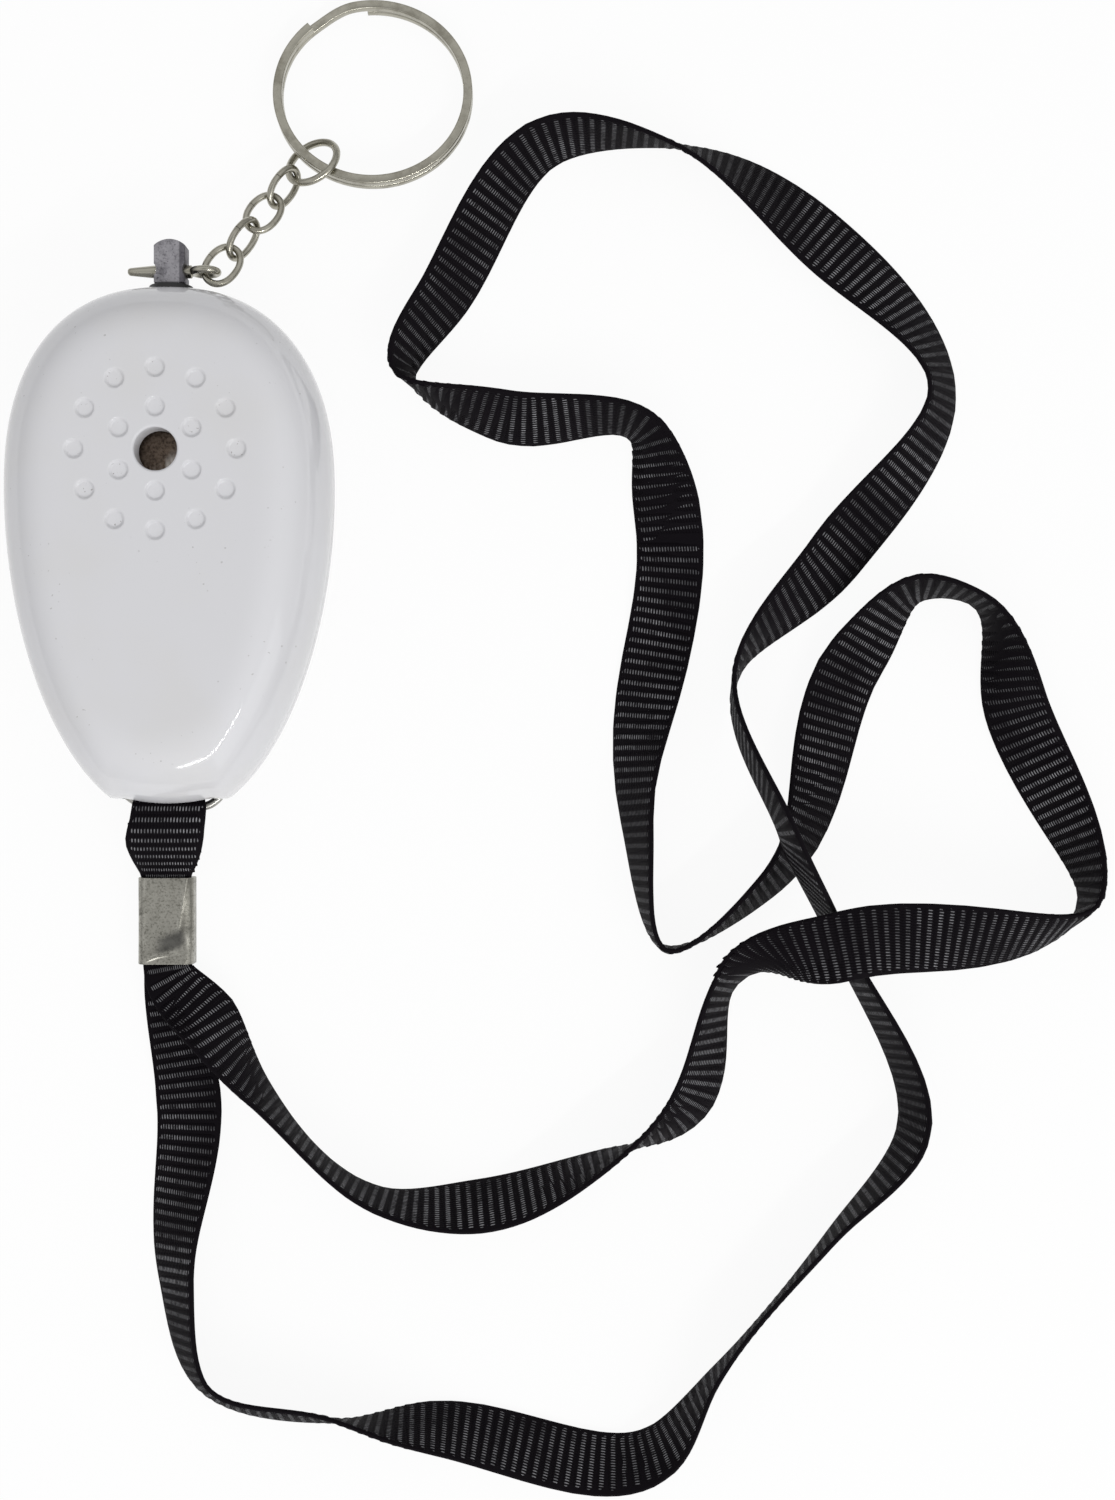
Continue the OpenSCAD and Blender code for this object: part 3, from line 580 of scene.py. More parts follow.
class Finish(Enum):
    """The finishes of the part by the name of their material slot."""

    SHELL = GlossyShell()
    SOCKET = Moulding("socket_black", (0.012, 0.012, 0.013), (0.03, 0.03, 0.032), 0.42)
    # The zinc pin's last value is where painted shade starts on its right side.
    ZINC = PlatedMetal("zinc_grey", (0.42, 0.41, 0.435), (0.12, 0.115, 0.13), 0.38, 0.3, 0.03, 0.7, 1.35)
    NICKEL = PlatedMetal("nickel", (0.41, 0.395, 0.335), (0.24, 0.225, 0.18), 0.17, 0.6, 0.004)
    CRIMP = CrimpPlate()
    STEEL = PlatedMetal("steel_wire", (0.46, 0.455, 0.43), (0.26, 0.25, 0.225), 0.2, 0.6, 0.005)
    WEBBING = WovenWebbing()
    PLATE = SounderDisc()
    BRASS = PlatedMetal("brass", (0.5, 0.37, 0.2), (0.2, 0.13, 0.07), 0.24, 0.5, 0.01)
    CERAMIC = Moulding("ceramic", (0.68, 0.66, 0.62), (0.55, 0.53, 0.5), 0.5, 0.2)
    GASKET = Moulding("gasket", (0.02, 0.02, 0.02), (0.045, 0.043, 0.042), 0.75, 0.25, 0.03)
    BOARD = BoardLaminate()
    CHIP = Moulding("chip_black", (0.017, 0.017, 0.018), (0.035, 0.035, 0.036), 0.55, 0.16, 0.02)
    COIL = CopperWinding()
    CAN = Moulding("can_blue", (0.02, 0.03, 0.11), (0.035, 0.05, 0.15), 0.32, 0.6, 0.01)
    CELL = CellJacket()
    LEAD = Moulding("lead_red", (0.36, 0.018, 0.015), (0.26, 0.013, 0.012), 0.38, 0.5, 0.01)

    @cache
    def material(self) -> bpy.types.Material:
        """Return the finish's material, made once."""
        return self.value.material()


def new_object(name: str, mesh: bpy.types.Mesh) -> bpy.types.Object:
    """Link a mesh to the scene as an object at the origin.

    Args:
        name: The object's name.
        mesh: Its mesh.

    Returns:
        The object.
    """
    obj = bpy.data.objects.new(name, mesh)
    bpy.context.scene.collection.objects.link(obj)
    return obj


def mesh_object(name: str, points: Any, faces: Sequence[Any], edges: Sequence[Any] = ()) -> bpy.types.Object:
    """Make an object from points in millimetres.

    Args:
        name: The object's name.
        points: Rows of x, y and z.
        faces: Rows of point numbers.
        edges: Pairs of point numbers, for lines without faces.

    Returns:
        The object.
    """
    mesh = bpy.data.meshes.new(name)
    mesh.from_pydata([tuple(float(v) * MM for v in p) for p in points], list(edges), list(faces))
    mesh.validate()
    return new_object(name, mesh)


def settle(obj: bpy.types.Object) -> bpy.types.Object:
    """Turn an object with modifiers into a plain mesh.

    Args:
        obj: The object.

    Returns:
        The same object, without modifiers.
    """
    graph = bpy.context.evaluated_depsgraph_get()
    mesh = bpy.data.meshes.new_from_object(obj.evaluated_get(graph))
    obj.modifiers.clear()
    obj.data = mesh
    return obj


def shade(obj: bpy.types.Object, angle: float = 35.0) -> bpy.types.Object:
    """Smooth an object's faces and keep edges sharper than an angle in degrees.

    Args:
        obj: The object.
        angle: Edges sharper than this stay sharp.

    Returns:
        The object.
    """
    mesh = obj.data
    mesh.polygons.foreach_set("use_smooth", [True] * len(mesh.polygons))
    mesh.set_sharp_from_angle(angle=math.radians(angle))
    return obj


def outward(obj: bpy.types.Object, merge: float = 0.0) -> bpy.types.Object:
    """Merge doubles within a distance in millimetres and turn all faces outwards.

    Args:
        obj: The object.
        merge: Distance for merging, or 0 for none.

    Returns:
        The object.
    """
    work = bmesh.new()
    work.from_mesh(obj.data)
    if merge:
        bmesh.ops.remove_doubles(work, verts=work.verts, dist=merge * MM)
    bmesh.ops.recalc_face_normals(work, faces=work.faces)
    work.to_mesh(obj.data)
    work.free()
    return obj


def bevelled(obj: bpy.types.Object, width: float, segments: int, angle: float) -> bpy.types.Object:
    """Round an object's edges.

    Args:
        obj: The object.
        width: Width of the rounding in millimetres.
        segments: Facets across it.
        angle: Edges sharper than this many degrees are rounded.

    Returns:
        The object as a plain mesh.
    """
    bevel = obj.modifiers.new("soft", "BEVEL")
    bevel.width = width * MM
    bevel.segments = segments
    bevel.limit_method = "ANGLE"
    bevel.angle_limit = math.radians(angle)
    return settle(obj)


def carve(target: bpy.types.Object, cutters: Sequence[bpy.types.Object]) -> bpy.types.Object:
    """Cut closed shapes out of a closed piece and remove them.

    Args:
        target: The piece.
        cutters: The shapes to cut away.

    Returns:
        The piece as a plain mesh.
    """
    for cutter in cutters:
        cut = target.modifiers.new("cut", "BOOLEAN")
        cut.operation = "DIFFERENCE"
        cut.solver = "EXACT"
        cut.object = cutter
    settle(target)
    for cutter in cutters:
        bpy.data.objects.remove(cutter)
    return target


def joined(parts: Sequence[bpy.types.Object], name: str) -> bpy.types.Object:
    """Join several closed objects into one mesh.

    Args:
        parts: The objects, which are removed.
        name: The new object's name.

    Returns:
        The joined object.
    """
    work = bmesh.new()
    for part in parts:
        work.from_mesh(part.data)
        bpy.data.objects.remove(part)
    mesh = bpy.data.meshes.new(name)
    work.to_mesh(mesh)
    work.free()
    return new_object(name, mesh)


def loft_faces(rings: int, count: int, closed: bool = False) -> list[tuple[int, int, int, int]]:
    """Return the quads between rings of points.

    Args:
        rings: Number of rings.
        count: Points in a ring.
        closed: Whether the last ring joins the first.

    Returns:
        Rows of four point numbers.
    """
    faces = []
    for k in range(rings if closed else rings - 1):
        a, b = k * count, (k + 1) % rings * count
        for i in range(count):
            j = (i + 1) % count
            faces.append((a + i, a + j, b + j, b + i))
    return faces


def capped_faces(rings: int, count: int) -> list[tuple[int, ...]]:
    """Return the quads between rings of points and a face over each end ring."""
    last = (rings - 1) * count
    return [*loft_faces(rings, count), tuple(range(count)), tuple(reversed(range(last, last + count)))]


def lengths(path: np.ndarray) -> np.ndarray:
    """Return the length along a line of points at each of them."""
    return np.concatenate([[0], np.cumsum(np.linalg.norm(np.diff(path, axis=0), axis=1))])


def rows_at(spots: np.ndarray, arc: np.ndarray, rows: np.ndarray) -> np.ndarray:
    """Return the rows at given lengths along a line."""
    return np.stack([np.interp(spots, arc, rows[:, k]) for k in range(rows.shape[1])], 1)


def unit(rows: np.ndarray) -> np.ndarray:
    """Return the rows as unit directions."""
    return rows / np.linalg.norm(rows, axis=1)[:, None]


def loft(name: str, rings: Sequence[np.ndarray], closed: bool = False) -> bpy.types.Object:
    """Make a closed piece through rings of points.

    Args:
        name: The object's name.
        rings: Rings with the same number of points, in millimetres.
        closed: Whether the last ring joins the first; otherwise the end rings are capped.

    Returns:
        The piece, with its faces outwards.
    """
    count = len(rings[0])
    faces = loft_faces(len(rings), count, True) if closed else capped_faces(len(rings), count)
    return outward(mesh_object(name, np.concatenate(rings), faces))


def lathe(name: str, profile: Sequence[Pair], place: Matrix, sides: int = 64) -> bpy.types.Object:
    """Turn a closed profile of radius and height about an axis.

    Args:
        name: The object's name.
        profile: Pairs of radius and height; a radius of 0 closes an end.
        place: Where the turned piece goes, in millimetres.
        sides: Number of facets round the axis.

    Returns:
        The turned piece.
    """
    turn = np.arange(sides) * math.tau / sides
    round_x, round_y = np.cos(turn), np.sin(turn)
    rings = []
    for r, h in profile:
        r = max(r, 1e-4)
        rings.append(np.stack([r * round_x, r * round_y, np.full(sides, h)], 1))
    hollow = profile[0] == profile[-1]
    obj = loft(name, rings[:-1] if hollow else rings, hollow)
    outward(obj, 0.001)
    obj.data.transform(Matrix.Scale(MM, 4) @ place @ Matrix.Scale(1 / MM, 4))
    return obj


def ring_of(wall: Sequence[Pair]) -> list[Pair]:
    """Close a profile onto its first point."""
    return [*wall, wall[0]]


def along_y(y: float, x: float = 0.0, z: float = SPLIT_Z) -> Matrix:
    """Return the place of a turned piece whose height runs down along -Y from a point."""
    return Matrix.Translation((x, y, z)) @ Euler((math.pi / 2, 0, 0)).to_matrix().to_4x4()


def along_z(x: float, y: float, z: float) -> Matrix:
    """Return the place of a turned piece whose height runs along +Z from a point."""
    return Matrix.Translation((x, y, z))


def box(name: str, low: Sequence[float], high: Sequence[float]) -> bpy.types.Object:
    """Make a closed block between two corners, for cutting.

    Args:
        name: The object's name.
        low: Lowest corner in millimetres.
        high: Highest corner in millimetres.

    Returns:
        The block.
    """
    xs, ys, zs = zip(low, high)
    points = [(x, y, z) for x in xs for y in ys for z in zs]
    faces = [(0, 1, 3, 2), (4, 6, 7, 5), (0, 4, 5, 1), (2, 3, 7, 6), (0, 2, 6, 4), (1, 5, 7, 3)]
    return outward(mesh_object(name, points, faces))


class GeometryTree:
    """A geometry node tree with named inputs."""

    def __init__(self, name: str, inputs: Sequence[tuple[str, str]]) -> None:
        """Start a tree.

        Args:
            name: The tree's name.
            inputs: Pairs of input name and socket type.
        """
        self.tree = bpy.data.node_groups.new(name, "GeometryNodeTree")
        face = self.tree.interface
        self.names = {}
        for label, kind in [("Geometry", "NodeSocketGeometry"), *inputs]:
            self.names[label] = face.new_socket(label, in_out="INPUT", socket_type=kind).identifier
        face.new_socket("Geometry", in_out="OUTPUT", socket_type="NodeSocketGeometry")
        self.source = self.tree.nodes.new("NodeGroupInput")

    def given(self, label: str) -> bpy.types.NodeSocket:
        """Return one of the tree's inputs."""
        return self.source.outputs[label]

    def add(
        self, kind: str, settings: dict[str, Any], inputs: dict[Any, Any], output: Any = 0
    ) -> bpy.types.NodeSocket:
        """Add one node.

        Args:
            kind: The node's type.
            settings: Properties that are set first.
            inputs: Values or sockets by socket name or number; a list links several.
            output: Name or number of the socket to return.

        Returns:
            The chosen output.
        """
        node = self.tree.nodes.new(kind)
        for key, value in settings.items():
            setattr(node, key, value)
        for key, value in inputs.items():
            for item in value if isinstance(value, list) else [value]:
                if isinstance(item, bpy.types.NodeSocket):
                    self.tree.links.new(item, node.inputs[key])
                else:
                    node.inputs[key].default_value = item
        return node.outputs[output]

    def end(self, geometry: bpy.types.NodeSocket) -> "GeometryTree":
        """Realize the result, set its material and close the tree.

        Args:
            geometry: The socket that holds the result.

        Returns:
            The tree.
        """
        plain = self.add("GeometryNodeRealizeInstances", {}, {0: geometry})
        inputs = {"Geometry": plain, "Material": self.given("Material")}
        dressed = self.add("GeometryNodeSetMaterial", {}, inputs)
        sink = self.tree.nodes.new("NodeGroupOutput")
        self.tree.links.new(dressed, sink.inputs[0])
        return self

    def run(self, obj: bpy.types.Object, **values: Any) -> bpy.types.Object:
        """Run the tree on an object and keep the result as a plain mesh.

        Args:
            obj: The object that holds the tree's input mesh.
            values: Inputs by name, with _ for a space.

        Returns:
            The object with its new mesh.
        """
        modifier = obj.modifiers.new(self.tree.name, "NODES")
        modifier.node_group = self.tree
        for key, value in values.items():
            modifier[self.names[key.replace("_", " ")]] = value
        return settle(obj)


def wire_tree() -> GeometryTree:
    """Return the tree that sweeps a round or square wire along a line.

    Returns:
        The tree, with the inputs Width, Height, Corner, Square, Sides and Material.
    """
    tree = GeometryTree(
        "swept_wire",
        [
            ("Width", "NodeSocketFloat"), ("Height", "NodeSocketFloat"), ("Corner", "NodeSocketFloat"),
            ("Square", "NodeSocketBool"), ("Sides", "NodeSocketInt"), ("Material", "NodeSocketMaterial"),
        ],
    )
    line = tree.add("GeometryNodeMeshToCurve", {}, {0: tree.given("Geometry")})
    level = tree.add("GeometryNodeSetCurveNormal", {"mode": "Z_UP"}, {0: line})
    either = {"Switch": tree.given("Square"), "False": line, "True": level}
    line = tree.add("GeometryNodeSwitch", {"input_type": "GEOMETRY"}, either)
    half = tree.add("ShaderNodeMath", {"operation": "MULTIPLY"}, {0: tree.given("Width"), 1: 0.5})
    turned = {"Resolution": tree.given("Sides"), "Radius": half}
    circle = tree.add("GeometryNodeCurvePrimitiveCircle", {}, turned)
    sizes = {"Width": tree.given("Width"), "Height": tree.given("Height")}
    square = tree.add("GeometryNodeCurvePrimitiveQuadrilateral", {}, sizes)
    corner = {"Curve": square, "Count": 5, "Radius": tree.given("Corner"), "Limit Radius": True}
    square = tree.add("GeometryNodeFilletCurve", {"mode": "POLY"}, corner)
    either = {"Switch": tree.given("Square"), "False": circle, "True": square}
    section = tree.add("GeometryNodeSwitch", {"input_type": "GEOMETRY"}, either)
    along = {"Curve": line, "Profile Curve": section, "Fill Caps": True}
    return tree.end(tree.add("GeometryNodeCurveToMesh", {}, along))


def dimple_tree() -> GeometryTree:
    """Return the tree that presses rings of soft dimples into a face.

    Returns:
        The tree, with inputs for the ring counts and sizes, the dimples and the Material.
    """
    sizes = ["Inner ring", "Outer ring", "Floor radius", "Mouth radius", "Depth"]
    tree = GeometryTree(
        "pressed_dimples",
        [("Inner count", "NodeSocketInt"), ("Outer count", "NodeSocketInt"), ("Centre", "NodeSocketVector")]
        + [(s, "NodeSocketFloat") for s in sizes]
        + [("Material", "NodeSocketMaterial")],
    )
    rings = []
    for ring in ("Inner", "Outer"):
        shape = {"Vertices": tree.given(f"{ring} count"), "Radius": tree.given(f"{ring} ring")}
        rings.append(tree.add("GeometryNodeMeshCircle", {}, shape))
    centres = tree.add("GeometryNodeJoinGeometry", {}, {0: rings})
    turned = {"Geometry": centres, "Translation": tree.given("Centre"), "Rotation": (0, 0, math.pi / 2)}
    centres = tree.add("GeometryNodeTransform", {}, turned)
    centres = tree.add("GeometryNodeMeshToPoints", {}, {0: centres})
    away = tree.add("GeometryNodeProximity", {"target_element": "POINTS"}, {"Target": centres}, "Distance")
    sunk = {
        "Value": away, "From Min": tree.given("Floor radius"), "From Max": tree.given("Mouth radius"),
        "To Min": tree.given("Depth"), "To Max": 0.0,
    }
    depth = tree.add("ShaderNodeMapRange", {"interpolation_type": "SMOOTHSTEP"}, sunk)
    down = tree.add("ShaderNodeMath", {"operation": "MULTIPLY"}, {0: depth, 1: -1.0})
    shift = tree.add("ShaderNodeCombineXYZ", {}, {"Z": down})
    pressed = tree.add("GeometryNodeSetPosition", {}, {"Geometry": tree.given("Geometry"), "Offset": shift})
    return tree.end(pressed)


def webbing_tree() -> GeometryTree:
    """Return the tree that lays woven ribs across a band.

    Returns:
        The tree, with the inputs Rib, Rib width and Material. The band's loose points carry the ribs.
    """
    tree = GeometryTree(
        "woven_ribs",
        [("Rib", "NodeSocketObject"), ("Rib width", "NodeSocketFloat"), ("Material", "NodeSocketMaterial")],
    )

    def stored(name: str, kind: str) -> bpy.types.NodeSocket:
        """Return a value that is stored on the points."""
        return tree.add("GeometryNodeInputNamedAttribute", {"data_type": kind}, {"Name": name})

    split = {"Geometry": tree.given("Geometry"), "Selection": stored("carries_rib", "BOOLEAN")}
    points = tree.add("GeometryNodeSeparateGeometry", {"domain": "POINT"}, split, "Selection")
    band = tree.add("GeometryNodeSeparateGeometry", {"domain": "POINT"}, split, "Inverted")
    axes = {
        "Primary Axis": stored("lay_out", "FLOAT_VECTOR"),
        "Secondary Axis": stored("lay_across", "FLOAT_VECTOR"),
    }
    turn = tree.add("FunctionNodeAxesToRotation", {"primary_axis": "Z", "secondary_axis": "X"}, axes)
    widths = {0: stored("lay_width", "FLOAT"), 1: tree.given("Rib width")}
    share = tree.add("ShaderNodeMath", {"operation": "DIVIDE"}, widths)
    size = tree.add("ShaderNodeCombineXYZ", {}, {"X": share, "Y": 1.0, "Z": 1.0})
    rib = tree.add("GeometryNodeObjectInfo", {}, {"Object": tree.given("Rib")}, "Geometry")
    lay = {"Points": points, "Instance": rib, "Rotation": turn, "Scale": size}
    ribs = tree.add("GeometryNodeInstanceOnPoints", {}, lay)
    return tree.end(tree.add("GeometryNodeJoinGeometry", {}, {0: [band, ribs]}))


def screw_tree() -> GeometryTree:
    """Return the tree that sets one screw at every point of a mesh.

    Returns:
        The tree, with the inputs Screw and Material.
    """
    tree = GeometryTree("set_screws", [("Screw", "NodeSocketObject"), ("Material", "NodeSocketMaterial")])
    screw = tree.add("GeometryNodeObjectInfo", {}, {"Object": tree.given("Screw")}, "Geometry")
    points = tree.add("GeometryNodeMeshToPoints", {}, {0: tree.given("Geometry")})
    return tree.end(tree.add("GeometryNodeInstanceOnPoints", {}, {"Points": points, "Instance": screw}))


class Trees:
    """The geometry trees of the part, each made once."""

    def __init__(self) -> None:
        """Build the trees."""
        self.wire = wire_tree()
        self.dimples = dimple_tree()
        self.webbing = webbing_tree()
        self.screws = screw_tree()


def swept(
    trees: Trees, name: str, line: Any, finish: Finish, size: Pair, closed: bool = False,
    square: bool = False, sides: int = 20,
) -> bpy.types.Object:
    """Sweep a wire along a line.

    Args:
        trees: The geometry trees.
        name: The object's name.
        line: Points in millimetres.
        finish: The wire's finish.
        size: Width and height of the wire in millimetres.
        closed: Whether the line returns to its start.
        square: Whether the wire is square with rounded corners.
        sides: Facets round a round wire.

    Returns:
        The wire.
    """
    count = len(line)
    edges = [(i, i + 1) for i in range(count - 1)] + ([(count - 1, 0)] if closed else [])
    obj = mesh_object(name, line, [], edges)
    trees.wire.run(
        obj, Width=size[0] * MM, Height=size[1] * MM, Corner=0.3 * MM, Square=square, Sides=sides,
        Material=finish.material(),
    )
    return shade(outward(obj), 40.0)


def fasten(obj: bpy.types.Object, body: str, finish: Finish, *nodes: str) -> bpy.types.Object:
    """Dress a finished piece and put it on its body.

    Args:
        obj: The piece.
        body: The body that it moves with.
        finish: Its finish.
        nodes: The solids that it stands for.

    Returns:
        The piece.
    """
    obj.data.materials.clear()
    obj.data.materials.append(finish.material())
    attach(obj, body)
    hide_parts(*nodes)
    "nickel" if finish is Finish.CRIMP else finish.value.name
    LOG.info("%s: %d faces on %s", obj.name, len(obj.data.polygons), body)
    return obj


@dataclass
class EggOutline:
    """The casing's egg outline in millimetres: that of the solids, with a softly blended low end."""

    half_width: float = 23.5
    top: float = 37.1
    low: float = -37.1
    wide_y: float = 8.0
    end_over: float = 2.4
    lip_rise: float = 0.75
    lip_half: float = 6.2
    upper: Pair = (0.85, 0.85)
    lower: Pair = (1.0, 1.05)

    def ring(self, inset: float, z: float, centre_y: float, count: int) -> np.ndarray:
        """Return the outline at an inset as points at even angles about a centre.

        Args:
            inset: Distance inside the widest outline.
            z: Height of the ring.
            centre_y: Centre of the angles.
            count: Number of points.

        Returns:
            Rows of x, y and z.
        """
        a = np.linspace(0, math.tau, 6000, endpoint=False)
        c, s = np.cos(a), np.sin(a)
        up = s >= 0
        px = np.where(up, self.upper[0], self.lower[0])
        py = np.where(up, self.upper[1], self.lower[1])
        reach = np.where(up, self.top - self.wide_y, self.wide_y - self.low + self.end_over)
        x = (self.half_width - inset) * np.sign(c) * np.abs(c) ** px
        y = self.wide_y + (reach - inset) * np.sign(s) * np.abs(s) ** py
        lip = self.low + inset + self.lip_rise * np.minimum(np.abs(x) / self.lip_half, 1.0) ** 2
        blend = 0.05 + 0.3 * inset
        y = blend * np.logaddexp(y / blend, lip / blend) - centre_y
        angle = np.arctan2(y, x) % math.tau
        order = np.argsort(angle)
        turn = np.arange(count) * math.tau / count
        r = np.interp(turn, angle[order], np.hypot(x, y)[order], period=math.tau)
        return np.stack([r * np.cos(turn), r * np.sin(turn) + centre_y, np.full(count, z)], 1)


def circle_ring(radius: float, z: float, centre_y: float, count: int) -> np.ndarray:
    """Return a round ring of points about the casing's middle line."""
    turn = np.arange(count) * math.tau / count
    return np.stack([radius * np.cos(turn), radius * np.sin(turn) + centre_y, np.full(count, z)], 1)


def soft_edge(inset: float, width: float, rise: float, steps: int, start: float = 0.0) -> list[Pair]:
    """Return a soft edge as pairs of inset and rise, from the side wall to the flat face.

    Args:
        inset: Inset at the side wall.
        width: Width of the edge.
        rise: Height of the edge.
        steps: Number of steps.
        start: First angle in degrees.

    Returns:
        Pairs of inset and rise.
    """
    fullness = 2.3
    power = 2 / fullness
    rows = []
    for k in range(steps + 1):
        a = math.radians(start + (90 - start) * k / steps)
        rows.append((inset + width * (1 - max(math.cos(a), 0.0) ** power), rise * math.sin(a) ** power))
    return rows


@dataclass
class Casing:
    """The two shells with their cuts, the screws and the pin's socket."""

    trees: Trees
    outline: EggOutline = field(default_factory=EggOutline)
    split_z: float = SPLIT_Z
    depth: float = FACE_Z
    wall: float = 2.0
    sound_y: float = SOUND_Y
    back_y: float = 4.0
    bore_r: float = 3.3
    channel_d: float = 1.4
    channel_leg: float = 5.1
    field_r: float = 12.9
    hole_r: float = 3.4
    hole_edge: float = 0.4
    throat: float = 4.0
    front_edge: float = 10.0
    back_edge: float = 8.0
    tongue: float = 1.2
    groove: float = 1.3
    slot_half: float = 6.6
    slot_rise: float = 2.8
    slot_y: Pair = (-39.0, -34.5)
    screw_at: tuple[Pair, ...] = ((-16.5, 18.0), (16.5, 18.0), (0.0, -25.0))
    points: int = 448

    def egg(self, inset: float, z: float, centre_y: float) -> np.ndarray:
        """Return one ring of the outline."""
        return self.outline.ring(inset, z, centre_y, self.points)

    def cutters(self, bail: "Bail") -> list[bpy.types.Object]:
        """Return the shapes that both shells are cut by along their joint.

        Args:
            bail: The bail, whose channel is cut.

        Returns:
            The slot, the pin's bore and the bail's channel.
        """
        low = (-self.slot_half, self.slot_y[0], self.split_z - self.slot_rise)
        slot = box("slot_cut", low, (self.slot_half, self.slot_y[1], self.split_z + self.slot_rise))
        wall = [(0, -1), (self.bore_r, -1), (self.bore_r, 8), (0, 8)]
        bore = lathe("bore_cut", wall, along_y(self.outline.top), 72)
        size = (self.channel_d, self.channel_d)
        channel = swept(self.trees, "channel_cut", bail.line(self.channel_leg), Finish.STEEL, size)
        return [slot, bore, channel]

    def build_front(self, bail: "Bail") -> bpy.types.Object:
        """Build the front shell with its dimples and sound hole.

        Args:
            bail: The bail, whose channel is cut.

        Returns:
            The finished mesh, not yet on its body.
        """
        cy, n = self.sound_y, self.points
        rise, ceiling, end = self.depth - self.split_z, self.depth - self.wall, self.depth - self.throat
        rings = [self.egg(0.22, self.split_z + 0.01, cy), self.egg(0.05, self.split_z + 0.08, cy)]
        for inset, up in soft_edge(0, self.front_edge, rise, 30, 0.8):
            rings.append(self.egg(inset, self.split_z + up, cy))
        edge, field_edge = rings[-1], circle_ring(self.field_r, self.depth, cy, n)
        rings += [edge * (1 - t) + field_edge * t for t in (0.33, 0.67)]
        radii = np.arange(self.field_r, self.hole_r + 0.05, -0.12)
        rings += [circle_ring(r, self.depth, cy, n) for r in radii]
        for k in range(7):
            a = math.radians(15 * k)
            sunk = self.depth - self.hole_edge * (1 - math.cos(a))
            rings.append(circle_ring(self.hole_r - self.hole_edge * math.sin(a), sunk, cy, n))
        r = self.hole_r - self.hole_edge
        throat = ((r, ceiling), (r, end + 0.15), (r + 0.15, end), (4.5, end), (4.5, ceiling), (10, ceiling))
        rings += [circle_ring(r, z, cy, n) for r, z in throat]
        roof = soft_edge(self.wall, self.front_edge - self.wall / 2, rise - self.wall, 12)
        for inset, up in [*reversed(roof), (self.wall, -self.tongue), (1.1, -self.tongue), (1.1, 0.01)]:
            rings.append(self.egg(inset, self.split_z + up, cy))
        shell = carve(loft("front", rings, True), self.cutters(bail))
        sizes = {
            "Inner_ring": 5.85, "Outer_ring": 11.3, "Floor_radius": 1.02, "Mouth_radius": 1.46, "Depth": 0.45,
        }
        self.trees.dimples.run(
            shell, Inner_count=6, Outer_count=12, Centre=(0, cy * MM, self.depth * MM),
            Material=Finish.SHELL.material(), **{key: value * MM for key, value in sizes.items()},
        )
        seat = ring_of([(11.6, 17.4), (13.3, 17.4), (13.3, 19.6), (11.6, 20.4)])
        boss = ring_of([(1.15, 10.0), (2.3, 10.0), (2.3, 18.6), (1.15, 18.6)])
        inner = [lathe("seat", seat, along_z(0, cy, 0))]
        inner += [lathe("boss", boss, along_z(x, y, 0), 32) for x, y in self.screw_at]
        return shade(joined([shell, *inner], "casing_front"), 32)

    def build_back(self, bail: "Bail") -> bpy.types.Object:
        """Build the back shell with its screw recesses.

        Args:
            bail: The bail, whose channel is cut.

        Returns:
            The finished mesh, not yet on its body.
        """
        cy, n = self.back_y, self.points
        floor = soft_edge(0, self.back_edge, self.split_z, 26, 0.9)
        inner = soft_edge(self.wall, self.back_edge - self.wall / 2, self.split_z - self.wall, 12)
        rings = [circle_ring(r, 0, cy, n) for r in (0.4, 5.0, 10.0)]
        rings += [self.egg(inset, self.split_z - rise, cy) for inset, rise in reversed(floor)]
        rim = [(0.05, 0.08), (0.22, 0.01), (1.0, 0.01), (1.0, self.groove), (self.wall, self.groove)]
        rim += [(inset, rise) for inset, rise in inner if rise > self.groove + 0.1]
        rings += [self.egg(inset, self.split_z - drop, cy) for inset, drop in rim]
        rings += [circle_ring(r, self.wall, cy, n) for r in (10.0, 0.4)]
        cuts = self.cutters(bail)
        steps = [
            (0, -1), (2.45, -1), (2.45, -0.02), (2.2, 0.28), (2.2, 1.8), (1.2, 1.8), (1.2, 11), (0, 11),
        ]
        cuts += [lathe("recess_cut", steps, along_z(x, y, 0), 48) for x, y in self.screw_at]
        post = ring_of([(1.2, 1.8), (3.0, 1.8), (3.0, 9.9), (1.2, 9.9)])
        posts = [lathe("post", post, along_z(x, y, 0), 32) for x, y in self.screw_at]
        shell = carve(loft("back", rings), cuts)
        return shade(joined([shell, *posts], "casing_back"), 32)

    def build_screws(self) -> bpy.types.Object:
        """Build the three casing screws with their crossed recess.

        Returns:
            The finished mesh, not yet on its body.
        """
        head = [(0, 0.4), (1.7, 0.42), (2.0, 0.6), (2.09, 0.85), (2.09, 1.8)]
        shaft = [(1.1, 1.8), (1.1, 12.8), (0.55, 13.4), (0, 13.4)]
        screw = lathe("screw", head + shaft, along_z(0, 0, 0), 40)
        arms = ((1.34, 0.25), (0.25, 1.34))
        carve(screw, [box("slot_cut", (-x, -y, -1), (x, y, 1.1)) for x, y in arms])
        places = mesh_object("casing_screws", [(x, y, 0) for x, y in self.screw_at], [])
        self.trees.screws.run(places, Screw=screw, Material=Finish.NICKEL.material())
        bpy.data.objects.remove(screw)
        return shade(places)

    def build_socket(self) -> bpy.types.Object:
        """Build the black bush that the pin is pulled out of."""
        wall = [(1.75, 0.35), (2.0, 0.1), (2.85, 0.1), (3.12, 0.22), (3.24, 0.5), (3.25, 9), (1.75, 9)]
        return shade(lathe("socket_bush", ring_of(wall), along_y(37.8), 72))

